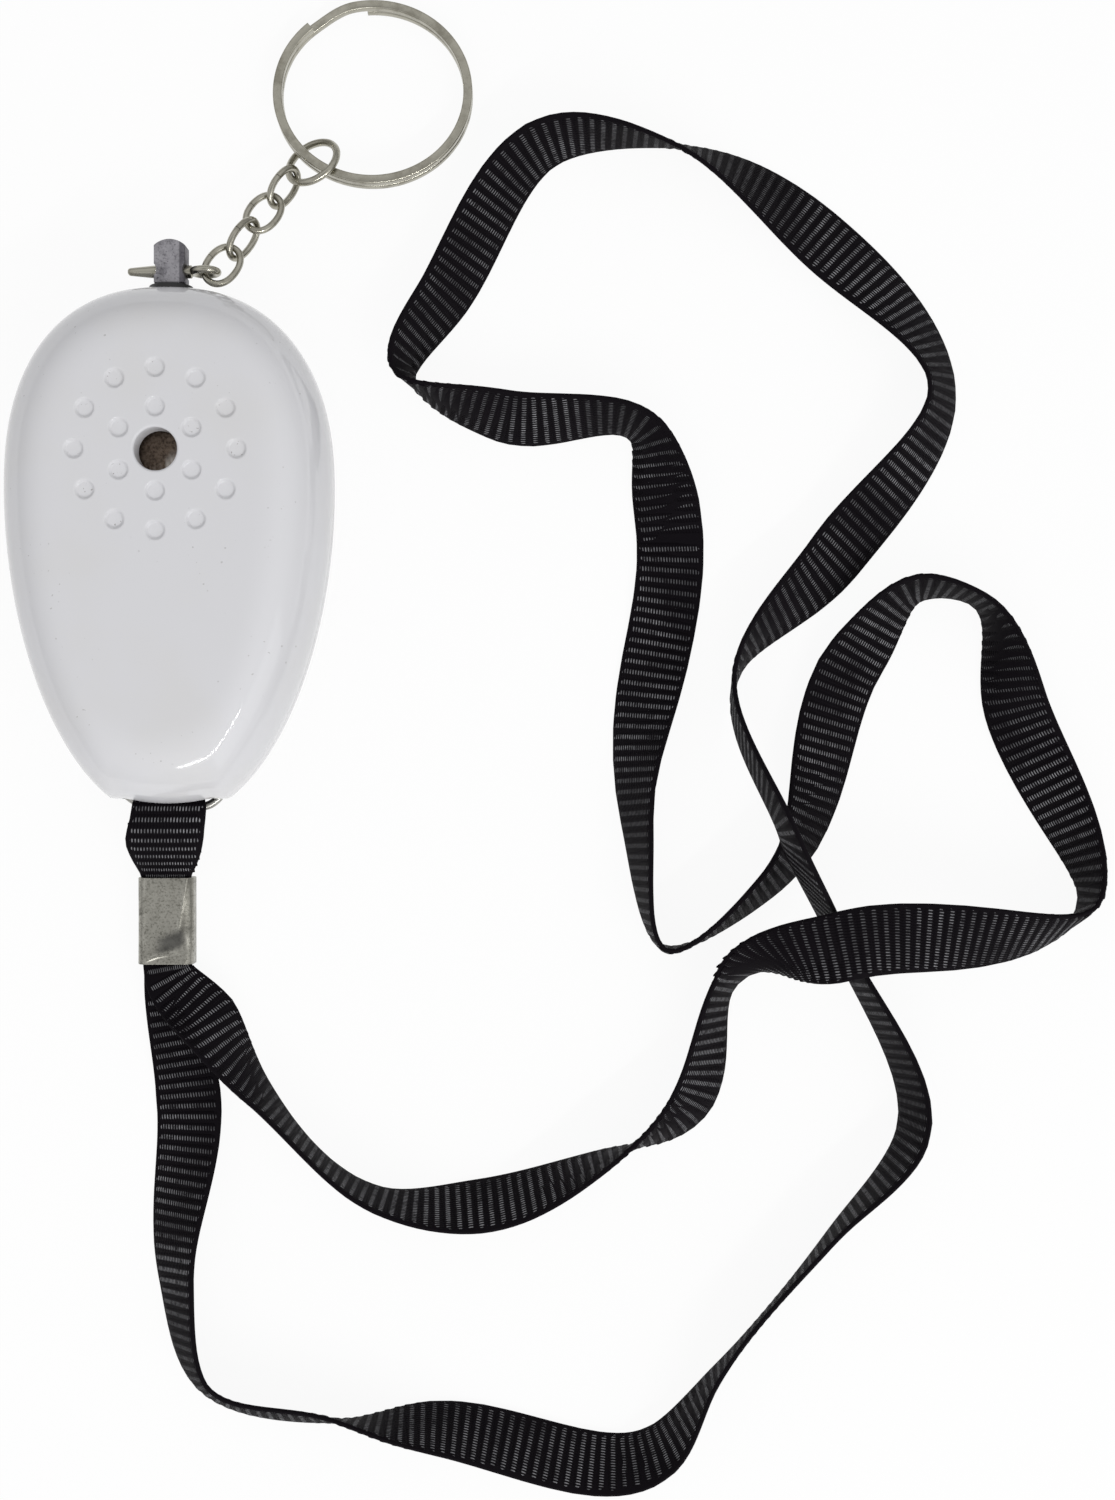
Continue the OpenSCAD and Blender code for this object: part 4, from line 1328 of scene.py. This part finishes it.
    def dress(self, bail: "Bail") -> None:
        """Build all pieces and put them on the casing.

        Args:
            bail: The bail, whose channel is cut.
        """
        fasten(self.build_front(bail), "casing", Finish.SHELL, "front_shell")
        fasten(self.build_back(bail), "casing", Finish.SHELL, "back_shell")
        fasten(self.build_screws(), "casing", Finish.NICKEL, "case_screws")
        fasten(self.build_socket(), "casing", Finish.SOCKET, "pin_socket")


@dataclass
class PullPin:
    """The grey pull pin and the split pin through its head."""

    trees: Trees
    head_w: float = 4.5
    head_t: float = 3.6
    low_y: float = 37.8
    top_y: float = 44.2
    crown: float = 0.9
    hole_y: float = 39.8
    axis_z: float = SPLIT_Z
    eye_x: float = 4.9
    eye_r: float = 1.75
    eye_wire: float = 1.12
    hole_r: float = 1.0
    leg_past: float = 4.0
    slit: float = 0.08
    notch_r: float = 1.25
    notch_out: float = 0.9

    def outline(self) -> list[Pair]:
        """Return the head's outline with its side notches and crowned top.

        Returns:
            Pairs of x and y, in order round the head.
        """
        half = self.head_w / 2
        reach = math.degrees(math.acos(self.notch_out / self.notch_r))
        right = [(half, self.low_y)]
        for k in range(9):
            a = math.radians(180 + reach - 2 * reach * k / 8)
            x = half + self.notch_out + self.notch_r * math.cos(a)
            right.append((x, self.hole_y + self.notch_r * math.sin(a)))
        r = (half**2 + self.crown**2) / (2 * self.crown)
        side = math.asin(half / r)
        for k in range(9):
            a = side * (1 - k / 8)
            right.append((r * math.sin(a), self.top_y - r + r * math.cos(a)))
        return right + [(-x, y) for x, y in reversed(right[:-1])]

    def build_pin(self) -> bpy.types.Object:
        """Build the head and the shank.

        Returns:
            The finished mesh, not yet on its body.
        """
        outline = self.outline()
        low, high = self.axis_z - self.head_t / 2, self.axis_z + self.head_t / 2
        rings = [np.array([(x, y, z) for x, y in outline]) for z in (low, high)]
        head = bevelled(loft("head", rings), 0.24, 3, 50)
        wall = [(0, -4), (self.hole_r, -4), (self.hole_r, 4), (0, 4)]
        carve(head, [lathe("hole_cut", wall, self.along_x(0), 40)])
        stem = [(0, 0), (1.7, 0), (1.7, 9.3), (1.4, 9.6), (0, 9.6)]
        shank = lathe("shank", stem, along_y(self.low_y + 0.05), 48)
        return shade(joined([head, shank], "pull_pin_body"), 40)

    def along_x(self, x: float) -> Matrix:
        """Return the place of a turned piece whose height runs along +X through the head's hole."""
        turn = Euler((0, math.pi / 2, 0)).to_matrix().to_4x4()
        return Matrix.Translation((x, self.hole_y, self.axis_z)) @ turn

    def build_split_pin(self) -> bpy.types.Object:
        """Build the split pin: two half-round legs and a round eye.

        Returns:
            The finished mesh, not yet on its body.
        """
        start, neck = -self.head_w / 2 - self.leg_past, self.eye_x - self.eye_r
        end = neck - start
        tip = [(0, 0), (0.3, 0.0), (0.46, 0.12), (0.56, 0.4), (0.7, 1.8), (0.88, 3.6), (0.93, 4.2)]
        legs = lathe("legs", tip + [(0.93, end - 0.2), (0.6, end), (0, end)], self.along_x(start), 40)
        low = (start - 1, self.hole_y - 2, self.axis_z - self.slit)
        carve(legs, [box("slit_cut", low, (neck - 0.3, self.hole_y + 2, self.axis_z + self.slit))])
        turn = np.arange(72) * math.tau / 72
        x, z = self.eye_x + self.eye_r * np.cos(turn), self.axis_z + self.eye_r * np.sin(turn)
        line = np.stack([x, np.full(72, self.hole_y), z], 1)
        eye = swept(self.trees, "eye", line, Finish.NICKEL, (self.eye_wire, self.eye_wire), True)
        return shade(joined([legs, eye], "split_pin"), 40)

    def dress(self) -> None:
        """Build both pieces and put them on their bodies."""
        fasten(self.build_pin(), "pin", Finish.ZINC, "pull_pin")
        fasten(self.build_split_pin(), "cotter", Finish.NICKEL, "cotter_pin")


@dataclass
class Chain:
    """Four oval links, the jump ring and the split key ring."""

    trees: Trees
    start: Triple = (7.25, 40.95, 9.25)
    yaw: float = 57.0
    fall: float = 18.0
    pitch: float = 5.3
    rolls: tuple[float, ...] = (4.0, 62.0, -2.0, 58.0)
    link_len: float = 7.5
    link_w: float = 5.2
    wire: float = 1.0
    oval: float = 2.15
    jump_at: Triple = (19.625, 57.525, 3.552)
    jump_turn: Triple = (-38.0, 0.0, 37.0)
    jump_r: float = 3.95
    jump_wire: float = 1.1
    key_at: Triple = (28.482, 67.752, 1.279)
    key_turn: Triple = (-5.236, 0.0, 0.0)
    key_r: float = 14.075
    key_oval: float = 0.95
    key_wire: Pair = (1.35, 1.25)

    def put(self, obj: bpy.types.Object, at: Sequence[float], turn: Sequence[float]) -> bpy.types.Object:
        """Move a piece's mesh from its own frame to its place.

        Args:
            obj: The piece.
            at: Its place in millimetres.
            turn: Its angles about X, Y and Z in degrees.

        Returns:
            The piece.
        """
        spin = Euler([math.radians(v) for v in turn], "XYZ").to_matrix().to_4x4()
        obj.data.transform(Matrix.Translation(Vector(at) * MM) @ spin)
        return obj

    def link_line(self) -> np.ndarray:
        """Return the line of one oval link, from one side of its butt joint to the other.

        Returns:
            Rows of x, y and z in the link's own frame.
        """
        turn = np.radians(np.linspace(90.4, 449.6, 81))
        half = np.array([self.link_len - self.wire, self.link_w - self.wire]) / 2
        way = np.stack([np.cos(turn), np.sin(turn)], 1)
        line = half * np.sign(way) * np.abs(way) ** (2 / self.oval)
        return np.concatenate([line, np.zeros((len(line), 1))], 1)

    def build_link(self, k: int) -> bpy.types.Object:
        """Build one chain link.

        Args:
            k: Number of the link, from 0 at the split pin.

        Returns:
            The finished mesh, not yet on its body.
        """
        f, w = math.radians(self.fall), math.radians(self.yaw)
        run = Vector((math.cos(f) * math.cos(w), math.cos(f) * math.sin(w), -math.sin(f)))
        name, size = f"chain_link_{k + 1}_wire", (self.wire, self.wire)
        obj = swept(self.trees, name, self.link_line(), Finish.NICKEL, size)
        return self.put(obj, Vector(self.start) + run * self.pitch * k, (self.rolls[k], self.fall, self.yaw))

    def build_jump(self) -> bpy.types.Object:
        """Build the jump ring with its butt joint.

        Returns:
            The finished mesh, not yet on its body.
        """
        turn = np.radians(np.linspace(100.3, 459.7, 97))
        line = np.stack([self.jump_r * np.cos(turn), self.jump_r * np.sin(turn), 0 * turn], 1)
        obj = swept(self.trees, "jump_ring_wire", line, Finish.NICKEL, (self.jump_wire, self.jump_wire))
        return self.put(obj, self.jump_at, self.jump_turn)

    def build_key_ring(self) -> bpy.types.Object:
        """Build the split ring: a flat turn, a short climb and a second flat turn.

        Returns:
            The finished mesh, not yet on its body.
        """
        a = np.arange(0, 683.0, 2.5)
        s = np.clip((a - 326) / 26, 0, 1)
        z = self.key_wire[1] / 2 + (3 * s**2 - 2 * s**3) * (self.key_wire[1] + 0.15)
        t = np.radians(94 - a)
        line = np.stack([self.key_r * np.cos(t), self.key_r * self.key_oval * np.sin(t), z], 1)
        obj = swept(self.trees, "key_ring_coil", line, Finish.NICKEL, self.key_wire, square=True)
        return self.put(obj, self.key_at, self.key_turn)

    def dress(self) -> None:
        """Build every link and ring and put it on its body."""
        for k in range(4):
            fasten(self.build_link(k), f"link_{k + 1}", Finish.NICKEL, f"chain_link_{k + 1}")
        fasten(self.build_jump(), "jump", Finish.NICKEL, "jump_ring")
        fasten(self.build_key_ring(), "key", Finish.NICKEL, "key_ring")


@dataclass
class Bail:
    """The wire bail at the bottom end of the casing."""

    trees: Trees
    y: float = -37.8
    bar: float = 7.2
    bend: float = 4.2
    leg: float = 5.0
    wire: float = 1.2
    z: float = SPLIT_Z
    skew: float = 0.06

    def line(self, leg: float) -> list[Triple]:
        """Return the wire's line with legs of a given length.

        Args:
            leg: Length of each leg in millimetres.

        Returns:
            Rows of x, y and z.
        """
        x, turn_y = self.bar / 2 + self.bend, self.y + self.bend
        line = [(-x, turn_y + leg * (1 - k / 4), self.z) for k in range(4)]
        for start, side in ((180, -1), (270, 1)):
            for k in range(17):
                a = math.radians(start + 90 * k / 16)
                across = side * self.bar / 2 + self.bend * math.cos(a)
                line.append((across, turn_y + self.bend * math.sin(a), self.z))
        line += [(x, turn_y + leg * k / 4, self.z) for k in range(1, 5)]
        return [(px, py + self.skew * (x - px), pz) for px, py, pz in line]

    def dress(self) -> None:
        """Build the bail and put it on the casing."""
        obj = swept(self.trees, "bail", self.line(self.leg), Finish.STEEL, (self.wire, self.wire), sides=24)
        fasten(obj, "casing", Finish.STEEL, "bail_wire")


@dataclass
class Webbing:
    """Ribbed webbing along a path: a thin band with woven ribs across it."""

    trees: Trees
    rib: float = RIB_PITCH
    width: float = STRAP_WIDTH
    thick: float = STRAP_THICK
    selvedge: float = 0.22

    def rib_mesh(self) -> bpy.types.Object:
        """Return one rib: a flattened tube whose ends draw in at the selvedge.

        Returns:
            The rib, with its own places across and around stored on its points.
        """
        half, sides, spans = self.width / 2 - self.selvedge, 12, 10
        rows, across, around = [], [], []
        for k in range(spans + 1):
            u = -1 + 2 * k / spans
            draw = 1 - 0.45 * abs(u) ** 12
            for i in range(sides):
                a = math.tau * i / sides
                rows.append((half * u, 0.72 * self.rib * math.cos(a), 0.5 * self.thick * draw * math.sin(a)))
                across.append(half * u)
                around.append(0.5 + 0.72 * math.cos(a))
        obj = outward(mesh_object("rib", rows, capped_faces(spans + 1, sides)))
        for name, values in (("across", across), ("around", around)):
            obj.data.attributes.new(name, "FLOAT", "POINT").data.foreach_set("value", values)
        return obj

    def build(
        self, name: str, path: np.ndarray, across: np.ndarray, out: np.ndarray, widths: np.ndarray
    ) -> bpy.types.Object:
        """Build the webbing.

        Args:
            name: The object's name.
            path: Points of the middle line in millimetres.
            across: Unit directions across the band at each point.
            out: Unit directions out of the band's face.
            widths: Width of the band at each point.

        Returns:
            The webbing as one mesh.
        """
        arc = lengths(path)
        spots = np.linspace(0, arc[-1], max(2, round(arc[-1] / 1.5)))
        mid, side, face = (rows_at(spots, arc, rows) for rows in (path, across, out))
        half = np.interp(spots, arc, widths)[:, None] / 2
        flat = 0.36 * self.thick
        section = [(half - 0.2, -1), (half, -0.45), (half, 0.45), (half - 0.2, 1)]
        section += [(-u, v) for u, v in reversed(section)]
        band = np.stack([mid + side * u + face * flat * v for u, v in section], 1)
        count = round(arc[-1] / self.rib)
        ribs = (np.arange(count) + 0.5) * arc[-1] / count
        knots, rib_across, rib_out = (rows_at(ribs, arc, rows) for rows in (path, across, out))
        points = np.concatenate([band.reshape(-1, 3), knots])
        obj = outward(mesh_object(name, points, capped_faces(len(spots), len(section))))
        self.store(obj, len(points) - count, rib_across, rib_out, np.interp(ribs, arc, widths), ribs)
        rib = self.rib_mesh()
        self.trees.webbing.run(obj, Rib=rib, Rib_width=self.width * MM, Material=Finish.WEBBING.material())
        bpy.data.objects.remove(rib)
        return shade(obj, 60)

    def store(
        self, obj: bpy.types.Object, first: int, across: np.ndarray, out: np.ndarray, widths: np.ndarray,
        along: np.ndarray,
    ) -> None:
        """Store on the loose points how their ribs lie.

        Args:
            obj: The band with its loose points.
            first: Number of the first loose point.
            across: Directions across the band.
            out: Directions out of the face.
            widths: Widths in millimetres.
            along: Lengths along the path.
        """
        total = len(obj.data.vertices)
        rows = {
            "carries_rib": ("BOOLEAN", "value", np.ones(total - first, bool)),
            "lay_across": ("FLOAT_VECTOR", "vector", across),
            "lay_out": ("FLOAT_VECTOR", "vector", out),
            "lay_width": ("FLOAT", "value", widths * MM),
            "along": ("FLOAT", "value", along),
        }
        for name, (kind, key, values) in rows.items():
            spare = np.zeros((first, *values.shape[1:]), values.dtype)
            whole = np.concatenate([spare, values]).ravel()
            obj.data.attributes.new(name, kind, "POINT").data.foreach_set(key, whole.tolist())


@dataclass
class Lanyard:
    """The long strap, its loop over the bail and the crimp that holds both."""

    trees: Trees
    width: float = STRAP_WIDTH
    thick: float = STRAP_THICK
    crimp_x: float = CRIMP_X
    crimp_z: float = 2.6
    crimp_top: float = CRIMP_TOP
    crimp_low: float = CRIMP_LOW
    crimp_w: float = 8.2
    crimp_t: float = 4.6
    tail_w: float = 7.0
    ply: float = 0.5
    route: tuple[tuple[float, float, float, float], ...] = (
        (1, -83, 10, 0), (-0.5, -107, 50, 0), (3.5, -123, 66, 0), (23.5, -128, 72, 0), (37, -129, 118, 0),
        (71, -132.5, 120, 0), (79, -121.5, 87, 0), (96, -101, 85, 0), (108, -86, 106, 0), (97.5, -58, 98, 0),
        (88.5, -41, 99, 10.6), (82, -18, 82, 0), (97, -0.5, 28, 0), (112.5, 24, 58, 0), (95.5, 46, 18, 0),
        (73.5, 59.5, 74, 0), (55, 60.5, 118, 0), (39.5, 38.5, 135, 0), (33, 26.5, 106, 0), (47.5, 20, 50, 0),
        (69, 17.5, 65, 0), (72, 7, 14, 0), (67.5, -40, 66, 0), (71.5, -58.5, 88, 0), (88, -48, 62, 0),
        (100.5, -15, 24, 0), (109, -5.5, 70, 0), (117.5, -7, 87, 0), (124, -24, 30, 0), (134, -52, 90, 0),
        (96.5, -57, 180, 15.8), (80.5, -63.5, 114, 0), (75, -82, 133, 0), (62, -90, 82, 0),
        (44.5, -96.5, 52, 0), (29.5, -95.5, 82, 0), (12.5, -80.5, 80, 0), (5, -69.5, 40, 2.4),
    )

    def run(self, steps: int = 10) -> np.ndarray:
        """Return the strap's middle line with its roll.

        Args:
            steps: Points in each span of the route.

        Returns:
            Rows of x, y, z and roll.
        """
        height = self.crimp_z - self.thick / 2
        ends = [(self.crimp_x, self.crimp_low, height + side * self.ply, 0) for side in (-1, 1)]
        rows = np.array([ends[0], *[(x, y, lift, roll) for x, y, roll, lift in self.route], ends[1]], float)
        gap = np.linalg.norm(np.diff(rows[:, :3], axis=0), axis=1)
        slope = np.zeros_like(rows)
        slope[0, 1], slope[-1, 1] = -1, 1
        for i in range(1, len(rows) - 1):
            a, b = gap[i - 1], gap[i]
            slope[i] = ((rows[i] - rows[i - 1]) * b / a + (rows[i + 1] - rows[i]) * a / b) / (a + b)
            slope[i, 2] = 0
        line = []
        for i in range(len(rows) - 1):
            for s in np.arange(steps) / steps:
                line.append(
                    (2 * s**3 - 3 * s**2 + 1) * rows[i] + (s**3 - 2 * s**2 + s) * gap[i] * slope[i]
                    + (3 * s**2 - 2 * s**3) * rows[i + 1] + (s**3 - s**2) * gap[i] * slope[i + 1]
                )
        line = np.array([*line, rows[-1]])
        roll = np.radians(line[:, 3])
        line[:, 2] += (self.width * np.abs(np.sin(roll)) + self.thick * np.abs(np.cos(roll))) / 2
        return line

    def build_strap(self) -> tuple[bpy.types.Object, np.ndarray]:
        """Build the long strap and return it with its middle line.

        Returns:
            The strap, and rows of x, y and z along its middle.
        """
        line = self.run()
        path = line[:, :3]
        run = np.empty_like(path)
        run[1:-1] = path[2:] - path[:-2]
        run[0], run[-1] = (0, -1, 0), (0, 1, 0)
        run = unit(run)
        level = unit(np.stack([-run[:, 1], run[:, 0], 0 * run[:, 0]], 1))
        up = np.cross(run, level)
        roll = np.radians(line[:, 3])[:, None]
        across = level * np.cos(roll) + up * np.sin(roll)
        out = up * np.cos(roll) - level * np.sin(roll)
        widths = np.full(len(path), self.width)
        fade = np.arange(10) / 9
        widths[:10] = self.tail_w + (self.width - self.tail_w) * fade
        widths[-10:] = widths[:10][::-1]
        return Webbing(self.trees).build("lanyard_webbing", path, across, out, widths), path

    def build_loop(self) -> bpy.types.Object:
        """Build the loop over the bail, with both tails in the crimp.

        Returns:
            The finished mesh, not yet on its body.
        """
        bail_y, bail_z, r = -37.25, SPLIT_Z, 1.14
        top, low, high = self.crimp_top, self.crimp_z - 0.75, self.crimp_z + 0.75
        back = [(top - 11.5, low), (top - 4, low), (top, low), (-45.5, 2.9), (-42.5, 5.6), (-39.6, 8.6)]
        turn = np.radians(np.linspace(-50, 140, 12))
        bend = [(bail_y + r * math.cos(a), bail_z + r * math.sin(a)) for a in turn]
        front = [(-39.9, 11.0), (-42.4, 9.6), (-45.2, 6.9), (-47.0, 4.5)]
        front += [(top, high + 0.1), (top - 4, high), (top - 11.5, high)]
        rows = np.array(back + bend + front)
        arc, count = lengths(rows), 160
        yz = rows_at(np.linspace(0, arc[-1], count), arc, rows)
        for _ in range(14):
            yz[1:-1] = 0.25 * yz[:-2] + 0.5 * yz[1:-1] + 0.25 * yz[2:]
        drop = np.sin(np.clip((yz[:, 0] - self.crimp_top) / 6.8, 0, 1) * math.pi / 2)
        rise = np.clip((yz[:, 0] + 43.5) / 6, 0, 1)
        rise = rise * rise * (3 - 2 * rise)
        under = 1 - np.clip((np.arange(count) - 70) / 12, 0, 1)
        widths = self.tail_w + 4.5 * drop - 0.75 * rise - 1.5 * under
        x = self.crimp_x + 0.8 * drop + 1.0 * rise - 0.45 * under
        path = np.stack([x, yz[:, 0], yz[:, 1]], 1)
        run = unit(np.gradient(yz, axis=0))
        across = np.tile((1.0, 0.0, 0.0), (len(path), 1))
        out = np.stack([0 * run[:, 0], -run[:, 1], run[:, 0]], 1)
        return Webbing(self.trees).build("lanyard_loop", path, across, out, widths)

    def press(self, points: np.ndarray) -> np.ndarray:
        """Press the crimp's face: a slanting fold at the right, a bead and a shallow dent near the low end.

        Args:
            points: Points of the crimp.

        Returns:
            The pressed points.
        """
        x, y = points[:, 0] - self.crimp_x, points[:, 1]
        face = np.clip((points[:, 2] - self.crimp_z) / (self.crimp_t / 2), 0, 1)
        ridge = FOLD_AT - FOLD_SLANT * (self.crimp_top - y)
        fade = np.clip((y - self.crimp_top + 8.4) / 1.2, 0, 1)
        fold = (np.clip(x - ridge, 0, None) * 0.16 - 0.1 * np.exp(-(((x - ridge) / 0.2) ** 2))) * fade
        up = y - self.crimp_low
        lip = 0.5 + 0.9 * (1 - ((x - 0.8) / 3.6) ** 2)
        bead = 0.16 * np.exp(-(((up - lip) / 0.2) ** 2)) * np.exp(-(((x + 0.9) / 2.0) ** 4))
        dent = 0.3 * np.exp(-(((x - 0.9) / 2.4) ** 2) - ((up - 2.4) / 1.1) ** 2)
        length = self.crimp_top - self.crimp_low
        waist = 0.12 * np.cos(up / length * math.tau) - 0.12
        moved = points.copy()
        moved[:, 2] -= face * (fold + dent - bead - waist)
        return moved

    def build_crimp(self) -> bpy.types.Object:
        """Build the crimp: folded sheet with its seam at the back.

        Returns:
            The finished mesh, not yet on its body.
        """

        def section(w: float, t: float, r: float) -> list[Pair]:
            """Return a rounded outline that starts and ends at the seam.

            Args:
                w: Width.
                t: Thickness.
                r: Radius of the corners.

            Returns:
                Pairs of x and z.
            """
            rows = []
            for k, (sx, sz) in enumerate(((1, -1), (1, 1), (-1, 1), (-1, -1))):
                for i in range(9):
                    a = math.radians(-90 + 90 * k + 90 * i / 8)
                    rows.append((sx * (w / 2 - r) + r * math.cos(a), sz * (t / 2 - r) + r * math.sin(a)))
            seam = self.crimp_w * 0.2
            rows = [(seam + 0.25, -t / 2), *rows, (seam, -t / 2)]
            dense = []
            for (x0, z0), (x1, z1) in zip(rows, rows[1:]):
                parts = max(1, round(math.hypot(x1 - x0, z1 - z0) / 0.14))
                dense += [(x0 + (x1 - x0) * i / parts, z0 + (z1 - z0) * i / parts) for i in range(parts)]
            return [*dense, rows[-1]]

        outer = section(self.crimp_w, self.crimp_t, 1.4)
        inner = section(self.crimp_w - 1.0, self.crimp_t - 1.0, 0.9)
        loop = [*outer, *reversed(inner)]
        rings = []
        for k in range(97):
            y = self.crimp_top + (self.crimp_low - self.crimp_top) * k / 96
            rings.append(self.press(np.array([(self.crimp_x + x, y, self.crimp_z + z) for x, z in loop])))
        return shade(bevelled(loft("lanyard_clamp", rings), 0.1, 2, 60), 50)

    def dress(self) -> None:
        strap, path = self.build_strap()
        fasten(strap, "casing", Finish.WEBBING, "lanyard_strap")
        exit_point = tuple(path[0] * MM)
        self.width * MM
        [tuple(p * MM) for p in path]
        fasten(self.build_loop(), "casing", Finish.WEBBING, "lanyard_end_loop")
        fasten(self.build_crimp(), "casing", Finish.CRIMP, "lanyard_crimp")


@dataclass
class Inside:
    """The solids inside the casing, which keep their shape and get their finishes."""

    finishes: tuple[tuple[str, Finish], ...] = (
        ("pin_tip", Finish.SOCKET), ("piezo_gasket", Finish.GASKET), ("piezo_plate", Finish.PLATE),
        ("piezo_ceramic", Finish.CERAMIC), ("piezo_leads", Finish.LEAD), ("circuit_board", Finish.BOARD),
        ("board_screws", Finish.NICKEL), ("driver_chip", Finish.CHIP), ("boost_coil", Finish.COIL),
        ("transistor", Finish.CHIP), ("capacitor", Finish.CAN), ("switch_post", Finish.BRASS),
        ("leaf_anchor", Finish.BRASS), ("switch_leaf", Finish.BRASS), ("battery", Finish.CELL),
        ("contact_positive", Finish.NICKEL), ("contact_negative", Finish.NICKEL),
        ("battery_leads", Finish.LEAD),
    )

    def dress(self) -> None:
        """Give each inner solid its finish."""
        for name, finish in self.finishes:
            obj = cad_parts[name]
            for slot in obj.material_slots:
                slot.material = finish.material()
            LOG.info("%s: %s", name, finish.value.name)


@dataclass
class Studio:
    """The sheet on the table, the soft lights and the camera straight above."""

    eye: Triple = (55.8, -29.3, 300.0)
    frame_height: float = 224.3
    room: tuple[tuple[float, Triple], ...] = (
        (0.0, (0.32, 0.32, 0.32)), (0.25, (0.42, 0.42, 0.42)), (0.55, (0.72, 0.72, 0.725)),
        (0.8, (0.88, 0.88, 0.885)), (0.93, (0.66, 0.66, 0.665)), (1.0, (0.42, 0.42, 0.42)),
    )
    row_power: float = 2.4
    row_lamps: int = 13
    row_step: float = 58.0
    row_middle: Triple = (270, -556, 594)
    row_run: Triple = (0.84, 0.53, 0.12)
    row_aim: Triple = (8, -28, 20)
    row_size: Pair = (15, 34)
    side_power: float = 2.2
    side_at: Triple = (900, -700, 520)
    side_aim: Triple = (30, -30, 0)
    side_size: Pair = (1100, 700)

    def build_camera(self) -> None:
        """Place the camera as the photograph has it."""
        data = bpy.data.cameras.new("camera")
        data.sensor_fit = "AUTO"
        data.sensor_width = 36.0
        data.lens = 36.0 * self.eye[2] / self.frame_height
        data.clip_start = 0.01
        camera = bpy.data.objects.new("camera", data)
        camera.location = Vector(self.eye) * MM
        bpy.context.scene.collection.objects.link(camera)
        bpy.context.scene.camera = camera

    def build_floor(self) -> None:
        """Lay the white sheet."""
        size, drop = 2500, -0.15
        corners = [(x * size, y * size, drop) for x, y in ((-1, -1), (1, -1), (1, 1), (-1, 1))]
        floor = mesh_object("floor", corners, [(0, 1, 2, 3)])
        floor.data.materials.append(FloorPaper().material())

    def lamp(self, name: str, at: Sequence[float], aim: Sequence[float], size: Pair, power: float) -> None:
        """Hang one soft light.

        Args:
            name: The light's name.
            at: Its place in millimetres.
            aim: The point that it faces.
            size: Its width and height.
            power: Its power in watts.
        """
        data = bpy.data.lights.new(name, "AREA")
        data.shape = "RECTANGLE"
        data.size, data.size_y = size[0] * MM, size[1] * MM
        data.energy = power
        obj = bpy.data.objects.new(name, data)
        obj.location = Vector(at) * MM
        obj.rotation_euler = (Vector(aim) - Vector(at)).to_track_quat("-Z", "Y").to_euler()
        bpy.context.scene.collection.objects.link(obj)

    def build_lights(self) -> None:
        """Hang the lights and set the room's own soft light."""
        middle, run = Vector(self.row_middle), Vector(self.row_run)
        for k in range(self.row_lamps):
            at = middle + run * self.row_step * (k - (self.row_lamps - 1) / 2)
            self.lamp(f"row_{k + 1}", at, self.row_aim, self.row_size, self.row_power / self.row_lamps)
        self.lamp("side", self.side_at, self.side_aim, self.side_size, self.side_power)
        paint = Paint("room", bpy.data.worlds.new("room"))
        point = paint.add("ShaderNodeTexCoord", {}, {}, "Generated")
        height = paint.add("ShaderNodeSeparateXYZ", {}, {0: point}, "Z")
        sky = paint.add("ShaderNodeValToRGB", {"stops": self.room}, {"Fac": height})
        room = paint.add("ShaderNodeBackground", {}, {"Color": sky})
        white = paint.add("ShaderNodeBackground", {}, {"Color": (1, 1, 1, 1)})
        seen = paint.add("ShaderNodeLightPath", {}, {}, "Is Camera Ray")
        mixed = paint.add("ShaderNodeMixShader", {}, {0: seen, 1: room, 2: white})
        paint.add("ShaderNodeOutputWorld", {}, {"Surface": mixed})
        bpy.context.scene.world = paint.owner
        bpy.context.scene.view_settings.view_transform = "Standard"


def main() -> None:
    """Build the studio and every sub-assembly in order."""
    logging.basicConfig(level=logging.INFO, format="%(message)s")
    studio = Studio()
    studio.build_camera()
    trees = Trees()
    Lanyard(trees).dress()
    bail = Bail(trees)
    bail.dress()
    Casing(trees).dress(bail)
    PullPin(trees).dress()
    Chain(trees).dress()
    Inside().dress()
    studio.build_floor()
    studio.build_lights()


if __name__ == "__main__":
    main()
